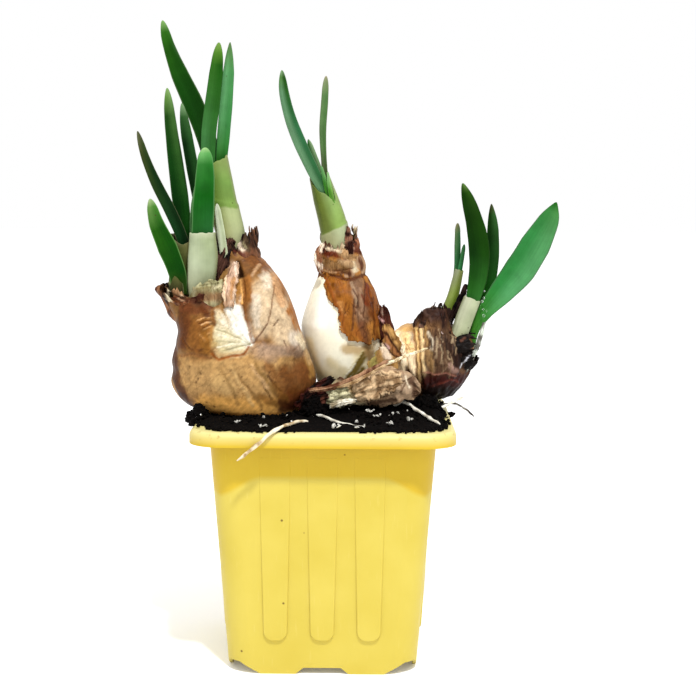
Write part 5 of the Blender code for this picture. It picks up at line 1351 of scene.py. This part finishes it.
COLLAR_PAINT = strokes("""
    6 #92581C 0.95 0  1.5 133  7 126.5  7.5 114
    1.6 #BE8244 0.85 0.15  5 125  6 121
    0.9 #8A4A18 0.9 0.3  0 133.5  3 126.5  6 120  7 113.5
    1.4 #6E3C0C 0.85 0.2  3 131.5  4.5 128
    1.5 #8C521A 0.8 0.15  7 120  8.5 114.5
    0.8 #C88A4C 0.7 0.15  5 118.5  6 115
    1.6 #94561E 0.7 0  4.5 133.5  7 129.5
    0.5 #6A3812 0.8 -0.2  7 125  6 117.5
    4 #7A5A42 0.95 0  11 132.5  13 119.5
    1 #A08468 0.8 0.2  9 132  11 125
    0.9 #96745A 0.7 0.15  12 130  13 122.5
    0.4 #4A2418 0.85 -0.25  9.5 130  11.5 126.5  10.5 121.5
    0.5 #6A2A1A 0.8 -0.2  12.5 128  14.5 124.5
    0.5 #B08A6A 0.7 0.2  11 123  13.5 119.5
    2 #6A2E14 0.9 0  14.5 131  15 125
    1.8 #8E5220 0.9 0  17 130  18.5 117.5
    0.8 #5C3014 0.8 0  16.5 126.5  17.5 114
    3 #6A4028 0.9 0  13 117.5  14.5 112.5
    1.8 #9A5A24 0.9 0  11 115  13 112
    0.6 #4C2C1C 0.8 -0.25  10 126.5  9.5 116
    0.5 #4A2818 0.8 -0.25  14 132.5  13.5 120
    0.4 #4A3020 0.7 -0.2  11.5 128  11.5 118.5
    1 #5A3018 0.9 -0.5  1.5 135  8.5 133.5  14.5 135
    1.2 #D6C8A8 0.85 0.1  9.5 139.5  10.5 136.5
    1.4 #D8C4AC 0.9 0.1  -3 141.5  -2 138
    2.6 #765630 0.85 0.2  -0.5 139.5  7 138
    0.6 #B08A64 0.8 0.2  -1.5 136.5  3.5 136
    1.7 #5E2410 0.95 -0.3  -1 143  3.5 142
    2.2 #A48259 0.9 0.2  5 143.5  9.5 141
    1.4 #AC8C66 0.7 0.2  5 140  9.5 138.5
    1 #D8C6A8 0.8 0.2  0 144.5  5 143.5
    1 #4A2418 0.9 0  -1.5 148  -1.5 143.5
    1.8 #5C2E1C 0.9 0  9 147  11.5 143
    0.5 #B08A70 0.7 0.2  8.5 148  10 144.5
    0.5 #5E3A20 0.8 -0.3  3 136.5  9.5 137.5
""")


middle_bulb = stacked("middle_bulb", MIDDLE_BODY, 120, 150)
paint_skin(middle_bulb, ("#F6EEDA", "#EFE6CC"), FLESH_PAINT, lumps=0.05, dark_below=94.5)
# Living flesh is smooth, moist and bright, with hardly a fibre and no cracks.
flesh = papery_skin("moist_bulb_flesh", 0.3, fibre=1.4, spread=(0.97, 1.02), depth=0.02, patch=(0.97, 1.03),
                    cracks=0.0)
middle_bulb.data.materials.append(flesh)
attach(middle_bulb, "root")
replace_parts(middle_bulb, "bulb_middle")

# The dry skin lies over the flesh, torn off along an edge, which is given as its place across at each height.
TUNIC_WALL = 0.4
TUNIC_CLEAR = 0.75
TUNIC_EDGE = ((108, 11.5), (111, 8.5), (114, 6.6), (119.4, 5.5), (124.7, 2.6), (130.1, 0.1), (135.4, -1.4),
              (140, -3.4))
TUNIC_LOW = 111.6


def tunic_place(u, v):
    """The middle bulb's own form, a little larger, with the upright folds of loose skin."""
    height, left, right, front, back = level_of(MIDDLE_BODY[3:], v)
    cosine, sine = round_power(math.tau * u, BULB_POWER)
    fold = 0.35 * noise.noise(Vector((cosine * 5.0, sine * 5.0, height * 0.06)))
    fold += 0.25 * noise.noise(Vector((cosine * 13.0, sine * 13.0, height * 0.16)))
    return ((left + right) / 2 + cosine * ((right - left) / 2 + TUNIC_CLEAR + fold),
            (front + back) / 2 + sine * ((back - front) / 2 + TUNIC_CLEAR + fold), height)


def torn_away(place):
    """Whether the skin is gone from a place on the bulb."""
    x, y, z = place / mm
    ragged = (1.7 * noise.noise(Vector((x, z, 2.0)) * 0.32) + 1.0 * noise.noise(Vector((x, z, 5.0)) * 0.8)
              + 0.5 * noise.noise(Vector((x, z, 7.0)) * 2.1))
    for low, high in zip(TUNIC_EDGE, TUNIC_EDGE[1:]):
        if low[0] <= z < high[0]:
            edge = low[1] + (high[1] - low[1]) * (z - low[0]) / (high[0] - low[0])
            return x < edge + ragged * (1.0 if y < 14.0 else 3.0) or z < TUNIC_LOW + ragged
    return z < TUNIC_LOW


tunic = lay_skin("middle_tunic", 220, 130, tunic_place, form="tube")
bpy.ops.object.mode_set(mode="EDIT")
pick(tunic, "faces", lambda face: torn_away(face.calc_center_median()))
bpy.ops.mesh.delete(type="FACE")
bpy.ops.object.mode_set(mode="OBJECT")
paint_skin(tunic, ("#B47834", "#6E3C16"), COLLAR_PAINT, lumps=0.3, dim=0.8, grain=(3.0, 9.0, 1.8))
close_sheet(tunic, TUNIC_WALL)
tunic.data.materials.append(dry_brown)
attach(tunic, "root")
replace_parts(tunic, "tunic_middle")
torn_cuff("middle_neck_cuff", ((5.6, 13.6, 131.6), (5.4, 13.8, 137), (5, 13.8, 143)), (16.4, 17, 15.2),
          (16.4, 17, 15.2), (1, 0.85, 0.7, 0.85, 1, 0.8, 0.7, 0.85), 2, ("#9E7E60", "#54301C"), COLLAR_PAINT,
          fold=1, ragged=0.16, rolls=0.35)
torn_cuff("middle_neck_collar", ((5.4, 13.8, 136), (5, 14, 141.6), (4.6, 14, 148)), (15.8, 14.4, 12.4),
          (15.8, 14.4, 12.4), (1, 0.8, 0.62, 0.75, 0.9, 0.6, 0.6, 0.9), 6, ("#8A5A40", "#34130B"),
          COLLAR_PAINT, fold=1, ragged=0.2, rolls=0.3)
torn_cuff("middle_neck_lining", ((5, 14, 140), (4.4, 14, 146), (4.6, 14, 153)), (13, 12.2, 11.4),
          (13, 12.2, 11.4), (0.95, 0.6, 0.4, 0.5, 0.75, 0.4, 0.5, 0.9), 4, ("#4A2A1C", "#B8A484"),
          COLLAR_PAINT, fold=1.1, ragged=0.22, rolls=0.3)


# The bulb on the right is an old one that lies on its side, tan and stringy, gone maroon below and black and
# shrivelled on top and at its far end. Loose scraps of its skin lean on the middle bulb.
LYING_BODY = (
    (90.6, 33, 43, 1, 13), (92.5, 27.5, 46.8, -3, 16.5), (96, 24.5, 49.8, -5.8, 19),
    (101, 22.6, 52.6, -7.6, 20.6), (106, 22, 54, -8, 21), (110.5, 22.2, 53.4, -7, 20),
    (114.5, 24.4, 50.6, -3.6, 17.4), (117.3, 29, 46, 0.6, 13.4),
)
OLD_NOSE = (
    (112, 32, 46, -4, 11), (117, 31.4, 45.4, -4.4, 10), (120.5, 32.8, 44.4, -3.4, 8.4),
    (123.4, 35.8, 43.6, -1, 6),
)
FIBRE_TONES = ("#9A8466", "#6E5842", "#2A1810", "#160C08", "#4E3828")
# The grey-white line at the rotten end (#B8B8BC) is a painted glint.
OLD_PAINT = strokes("""
    9 #FFE6BC 0.95 0  24.5 113  28.5 100.5
    3 #FFEFCE 0.8 0.1  26 111.5  28 106.5
    2.2 #E8BE80 0.8 0.2  28 115  30.5 109.5
    0.4 #B98444 0.6 -0.2  25 113.5  26.5 105
    0.5 #C08C4C 0.6 -0.2  28.5 113  29.5 101.5
    1.6 #B88A4C 0.8 0  23.5 116  30.5 116.5
    1.2 #D8A05C 0.7 0  23.5 111  24.5 108.5
    0.9 #D8B070 0.9 0.6  32.5 116.5  33 109  33.5 97
    0.9 #E4C48E 0.9 0.7  34 116.5  34.5 109  35.5 96
    0.9 #A8824E 0.9 0.5  35.5 117.5  36 111.5
    0.45 #7A4C20 0.85 -0.6  33 116  33.5 109  34.5 97
    0.6 #5A3A1C 0.85 -0.5  36.5 116  37 107.5  37 97.5
    0.7 #C49A62 0.8 0.4  37.5 113  38 104  37.5 98
    0.4 #3A2212 0.85 -0.4  38.5 111.5  39.5 100.5
    0.5 #8A5A28 0.8 -0.5  31.5 116  32 109  32.5 99
    8 #4E3828 0.95 0  41 112.5  42 103
    4.4 #281810 0.98 -0.2  45 112  46.5 104.5
    0.8 #C9BAA0 0.8 0.3  36.5 115.5  38 112.5  37.5 109.5
    1.6 #8E6E46 0.8 0  36.5 109  38 101.5
    1.4 #9A7A6C 0.8 0.2  44 104  46.5 101.5
    6.4 #2E0E0A 1 -0.2  36.5 98  48.5 97.5
    0.6 #5E2A20 0.7 0.2  38 96.5  44.5 99  48 97.5
    0.45 #8A5A4A 0.7 0.3  35 102  38.5 101  43 101.5  46.5 100
    5 #140A08 1 0  37.5 94  46 93
    5 #1C1210 0.95 -0.3  48.5 111.5  50 105.5
    1.6 #B8785C 0.8 0.3  47 113  50.5 114
    0.4 #B8B8BC 0.8 0.2  48 103  51 109.5
    1.6 #5C3014 0.85 -0.2  29.5 101.5  33.5 96
    1 #3A1A0C 0.85 -0.2  28.5 103  30 99.5
    6 #2A1712 0.95 0  31.5 123.5  44 121
    0.8 #4E382E 0.7 0.3  35 123  37.5 119.5
""")
# The two pale grey marks (#A89894, #B09A92) are painted glints on the black cap.
CAP_PAINT = strokes("""
    9 #22140F 0.95 0  32 118  44 122
    0.5 #3E2A22 0.8 0.3  33.5 120.5  36.5 118.5
    0.6 #4A342A 0.8 0.3  38.5 120.5  40.5 118.5
    0.9 #7A5C4C 0.85 0.3  33 118.5  35 117
    0.35 #A89894 0.85 0.3  37.5 122.5  39.5 121.5
    0.4 #46322A 0.8 0.3  35.5 121.5  37 119.5
    1 #1A0E0C 0.9 -0.3  40 119.5  42 116
    0.35 #B09A92 0.85 0.3  40.5 117  41.5 115
    0.5 #6A5646 0.8 0.1  36.5 124  40.5 124.5
    0.7 #6A4630 0.8 0.2  42.5 119.5  45 116.5
""")
# The grey-white mark (#B4B4BA) is a painted glint on the black end.
END_PAINT = strokes("""
    7 #120D0B 1 0  46.5 111  51.5 104
    0.6 #5A382A 0.8 0.2  48 112.5  49.5 113.5
    0.4 #B4B4BA 0.9 0.2  49 105  51 107.5
    0.8 #0C0A0A 0.9 0  51.5 109  53.5 106.5
""")
FLAP_PAINT = strokes("""
    3 #8E8448 0.9 0  16.5 109.5  19 98.5
    2 #D2BEA6 0.9 0.1  20 110.5  22.5 106.5
    0.8 #E0B4B0 0.9 0.1  21.5 111.5  22.5 110
    1.6 #8A5A34 0.95 0.2  21 115.5  23.5 111  26 107
    0.6 #2A120A 0.95 -0.1  21.5 115.5  24.5 111  27.5 106.5
    0.5 #3A1A10 0.95 -0.3  20 113  23 108.5  26 106.5
    1.6 #7A3E1C 0.9 0.1  18 117  19.5 113
    1.2 #7E5A30 0.9 0  18.5 111  19 105
    0.8 #8E7E5C 0.85 0  21 105.5  26 106
""")
# The pink mark (#D8A8A0) is a painted highlight on the dark spike.
SPIKE_PAINT = strokes("""
    4 #4A241A 0.95 0  18.5 123  21.5 116.5
    0.5 #8A7464 0.8 0.2  20 123  20.5 121
    0.6 #D8A8A0 0.85 0.2  19 119.5  20.5 118.5
    0.5 #1A0C08 0.9 -0.2  19.5 118  21 116.5
""")


lying_bulb = stacked("lying_bulb", LYING_BODY, 96, 60, seed=8.0)
grow_together(lying_bulb, [stacked("old_nose", OLD_NOSE, 60, 40, seed=9.0)], 0.45, 5)
draw = random.Random(5)
fibres = []
for k in range(46):
    x, z = draw.uniform(36.5, 50.5), draw.uniform(106.0, 117.0)
    path = ((x, z), (x + draw.uniform(-0.6, 1.0), z - 2.5),
            (x + draw.uniform(-1.2, 1.6), z - draw.uniform(3.0, 7.0)))
    fibres.append((path, draw.uniform(0.2, 0.42), draw.choice(FIBRE_TONES), 0.7, draw.uniform(-0.3, 0.15)))
paint_skin(lying_bulb, ("#8A6440", "#3A2418"), OLD_PAINT + tuple(fibres), lumps=0.6, grain=(1.6, 14.0, 1.3),
           dark_below=94.0)
lying_bulb.data.materials.append(dry_brown)
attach(lying_bulb, "root")
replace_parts(lying_bulb, "bulb_lying")
torn_cuff("old_neck_cap", ((38.8, 2.6, 112), (38.6, 2.8, 117), (39.6, 3, 124)), (14.4, 13.4, 9.4),
          (13.6, 12.4, 8.4), (0.75, 0.8, 0.85, 0.8, 0.75, 0.8, 0.9, 0.9), 8, ("#3A261E", "#0A0504"),
          CAP_PAINT, fold=2.2, ragged=0.32)
torn_cuff("old_neck_core", ((39.4, 2.4, 114), (40, 2.6, 119), (40.6, 2.8, 125.4)), (10, 8.6, 3.4),
          (9.4, 8, 3), (0.9, 0.8, 0.85, 0.8, 0.9, 0.8, 0.9, 0.9), 12, ("#2E1E18", "#0C0605"), CAP_PAINT,
          fold=1.4, ragged=0.3)
torn_cuff("rotten_end", ((46, 2.4, 107.4), (50.6, 1.6, 108.8), (55, 1, 110)), (15, 13, 9), (15, 13, 9),
          (0.8, 0.7, 0.8, 0.9, 0.8, 0.7, 0.8, 0.7), 15, ("#2A1E1A", "#0A0706"), END_PAINT, fold=1.7,
          ragged=0.35)
flap = torn_sheet("loose_tunic_flap",
                  ((17.4, -5.4, 96.4), (20.6, -6, 103), (23.4, -5, 110.6), (21.6, -3.6, 118)),
                  (9, 11, 7, 2.6), 11, ("#A8804A", "#7E5A30"), FLAP_PAINT)
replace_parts(flap, "tunic_flap")
spike = torn_cuff("loose_tunic_spike", ((22.4, 7.6, 111), (21.4, 7.6, 117), (20.6, 7.6, 124.4)), (6, 5.4, 2),
                  (6, 5.2, 2.4), (0.9, 0.8, 0.95, 0.85, 0.9, 0.8, 0.9, 0.9), 17, ("#4A241A", "#2A140E"),
                  SPIKE_PAINT, fold=0.9, ragged=0.3)
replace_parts(spike, "tunic_spike")


# In front of the two lies an offset, a side bulb that has dried up: dead scales in their own skin, flat and
# wrinkled, grey-brown with a paler foot. It is one crumpled lump along a line.
WITHERED_LINE = ((-2.6, -8.0, 96.2), (5.0, -9.5, 94.4), (13.0, -10.4, 95.6), (21.0, -12.0, 97.4),
                 (28.0, -13.6, 97.6), (33.6, -13.4, 95.4))
WITHERED_DEPTH = (2.0, 7.0, 8.4, 8.6, 8.0, 2.6)
WITHERED_HEIGHT = (2.2, 9.6, 11.0, 12.0, 11.0, 4.0)
WITHERED_PAINT = strokes("""
    9 #C4A484 0.95 0  14.5 96.5  27 97.5
    0.6 #5E4430 0.8 -0.3  15 100  21 98  26.5 100
    0.8 #C2A884 0.8 0.2  18 101  23.5 101.5
    0.7 #4E3424 0.85 -0.3  13 94.5  19.5 92.5
    3 #A48464 0.8 0.2  16.5 94.5  21 93.5
    4.6 #98826A 0.95 0.2  24.5 99.5  29.5 99
    0.4 #4A3020 0.85 -0.4  23.5 96.5  27 99.5  30.5 101
    0.5 #5E4430 0.8 -0.4  26.5 96  28.5 99.5
    0.4 #6E5640 0.8 -0.3  25.5 101  27 97.5
    0.4 #E0D0B4 0.8 0.2  28 101.5  29.5 97.5
    1.2 #6A4428 0.85 -0.3  14 99.5  15.5 93
    1 #6E5640 0.8 -0.3  21 100  22.5 95
    0.6 #5E4630 0.7 -0.3  18 98.5  17.5 95
    4 #DCC79C 0.95 0  9 95  11.5 91.5
    6 #C9C8A0 0.95 0  2 95  7 90.5
    2.4 #E8E6CE 0.8 0.2  4.5 92  6 89.5
    1.2 #F2EEDC 0.8 0.2  7 93  9.5 92
    2.4 #B8986A 0.8 0  12.5 101  9.5 97
    1.2 #4A3222 0.9 0  16.5 91.5  25 93
    0.8 #C8BA98 0.8 0.2  25.5 102.5  19.5 101
    2 #4A3020 0.9 -0.2  30.5 100  32 95
""")


def withered_place(u, v):
    """A flat, pointed lump along its line, deeply creased across and along."""
    side, front = compass(WITHERED_LINE, v)[1:]
    cosine, sine = math.cos(math.tau * u), math.sin(math.tau * u)
    close = math.sqrt(max(min(v, 1.0 - v), 0.0) / 0.04) if min(v, 1.0 - v) < 0.04 else 1.0
    crease = 1.5 * noise.noise(Vector((cosine * 1.7, sine * 1.7, v * 4.0)))
    crease += 0.9 * noise.noise(Vector((cosine * 2.6, sine * 2.6, v * 11.0)))
    crease -= 0.7 * abs(noise.noise(Vector((cosine * 1.6, sine * 5.0, v * 6.0 + 3.0))))
    return (along(WITHERED_LINE, v) + side * cosine * (mix(WITHERED_HEIGHT, v) / 2 + crease) * close
            + front * sine * (mix(WITHERED_DEPTH, v) / 2 + crease) * close)


withered = lay_skin("withered_offset", 110, 220, withered_place)
paint_skin(withered, ("#9A7E60", "#4A3222"), WITHERED_PAINT, lumps=0.55, grain=(2.6, 3.4, 2.0), dark_below=91.5)
withered.data.materials.append(papery_skin("withered_skin", 0.6, depth=0.25, tilt=1.1, cracks=0.9))
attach(withered, "root")
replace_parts(withered, "bulb_withered")


# Scraps of dead skin, loose or hanging by a fibre, lie over the offset and round the necks: grey-brown, pale
# and cream flakes, dark red and black shreds, and straws that slope up to the old bulb. Each is a torn sheet
# with a line, its widths, a seed, two ground colours, a bulge and a fold.
SCRAPS = (
    ("flake_brown", ((10.6, -15.6, 95.4), (16, -17, 97.6), (21, -17.4, 99.4), (26.6, -16, 100.6)),
     (6.6, 8.8, 8.4, 5), 2, ("#C8AA84", "#7E6244"), 0.9, 1),
    ("flake_pale", ((0.6, -16, 93.4), (4.4, -17.4, 94.4), (8.6, -17.2, 95.6)), (3.4, 7.4, 5), 5,
     ("#C2BC98", "#7A7456"), 0.8, 1.1),
    ("flake_edge", ((2.4, -18, 91), (6.4, -18.4, 92.6), (10.6, -17.8, 93)), (1.6, 2.2, 1.2), 8,
     ("#EEE8D4", "#9A8C70"), 0.3, 0.6),
    ("shred_red", ((-8.6, -14.6, 89.6), (-5.4, -15.4, 93.6), (-1.2, -15.2, 97.4), (2.8, -14.2, 100.4)),
     (4.6, 5.4, 4.6, 2), 3, ("#3E1A14", "#120806"), 0.9, 1.2),
    ("shred_dark", ((-6, -16, 88.6), (-2.6, -16.6, 92), (1.6, -16.8, 94.6)), (3.4, 4.4, 2.6), 9,
     ("#5A3428", "#160A08"), 0.6, 1.2),
    ("flake_cream", ((-1.8, 6, 136), (-2.8, 5.6, 139.8), (-2.8, 6.2, 143), (-1.4, 7.8, 146)),
     (1.4, 2.8, 2.6, 1.2), 4, ("#E2D2BC", "#7E5238"), 0.9, 0.7),
    ("strip_neck", ((8.6, 7.6, 142.6), (8.2, 8.2, 145.8), (7.9, 9.6, 148.8), (7.6, 11.6, 151.6)),
     (1.8, 3.2, 2.6, 1), 16, ("#7A5440", "#260F08"), 0.8, 0.9),
    ("straw_brown",
     ((-5, -17.2, 96.4), (2, -18, 97.6), (9, -18.4, 100.2), (15.4, -18.2, 103.4), (21.8, -17, 106.8)),
     (1.4, 1.8, 2, 1.8, 1.2), 6, ("#A07A5C", "#5A3422"), 0.4, 0.4),
    ("straw_tan", ((-1, -17.6, 97), (8.9, -18.6, 99.4), (21, -17.8, 105.4)), (0.9, 1.5, 1), 7,
     ("#D2B48A", "#9A7850"), 0.3, 0.3),
    ("straw_pale", ((20.8, -17.2, 105.6), (28.4, -14.6, 108.4), (35.6, -11.4, 110.6)), (0.9, 0.9, 0.6), 11,
     ("#F0E2C0", "#CDB48A"), 0.2, 0.2),
    ("neck_shred", ((-37.6, -6, 133.6), (-37, -6.6, 138.4), (-35, -5, 143.6), (-33.4, -3, 148)),
     (4.6, 5.6, 5.4, 3), 14, ("#4A3026", "#0C0605"), 0.5, 1.4),
    ("shred_black", ((44.4, 5, 117.8), (46.8, 4.4, 123.8), (49, 4.4, 128.2), (50.2, 4.8, 132)),
     (2, 2.4, 2.2, 1), 12, ("#2A1C18", "#080504"), 0.4, 0.8),
    ("strand_grey", ((56.6, 0.6, 118.6), (54.8, 0, 112), (52.6, -0.6, 106.6), (50.4, -1.2, 101.6)),
     (1, 1.6, 1.4, 0.8), 13, ("#C2C8BC", "#5E5C54"), 0.4, 0.4),
)
for name, line, widths, seed, grounds, bulge, fold in SCRAPS:
    torn_sheet(name, line, widths, seed, grounds, (), bulge, fold)


# Peat clings to the bulbs in clods: crumbs round the left bulb's foot, a heap under its outer side, a heap
# between it and the withered offset, and one under the old bulb. A heap has a middle, a spread, a height and
# a number of clods.
HEAPS = (((-43, -16), (3.4, 11), 5.6, 420), ((-3.6, -16.4), (5.4, 4.4), 8, 420),
         ((36, -8.6), (7, 4), 7.4, 360))
draw = random.Random(21)
caked = []
for k in range(420):
    share = draw.uniform(0.26, 0.28 + 0.05 * draw.random() ** 2)
    height, left, right, front, back = level_of(LEFT_BODY, share)
    cosine, sine = round_power(draw.uniform(0.0, math.tau), BULB_POWER)
    caked.append(((left + right) / 2 + cosine * (right - left) / 2,
                  (front + back) / 2 + sine * (back - front) / 2, height))
for middle, spread, peak, count in HEAPS:
    for k in range(count):
        x, y = draw.gauss(0.0, 0.5), draw.gauss(0.0, 0.5)
        height = max(peak * (1.0 - x * x - y * y), 0.6) * draw.uniform(0.75, 1.0)
        caked.append((middle[0] + x * spread[0], middle[1] + y * spread[1], POT_HEIGHT + 0.4 + height))
clods = scatter("clinging_peat", caked, 0.8, 0.8, 5)
clods.data.materials.append(peat)


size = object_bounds()
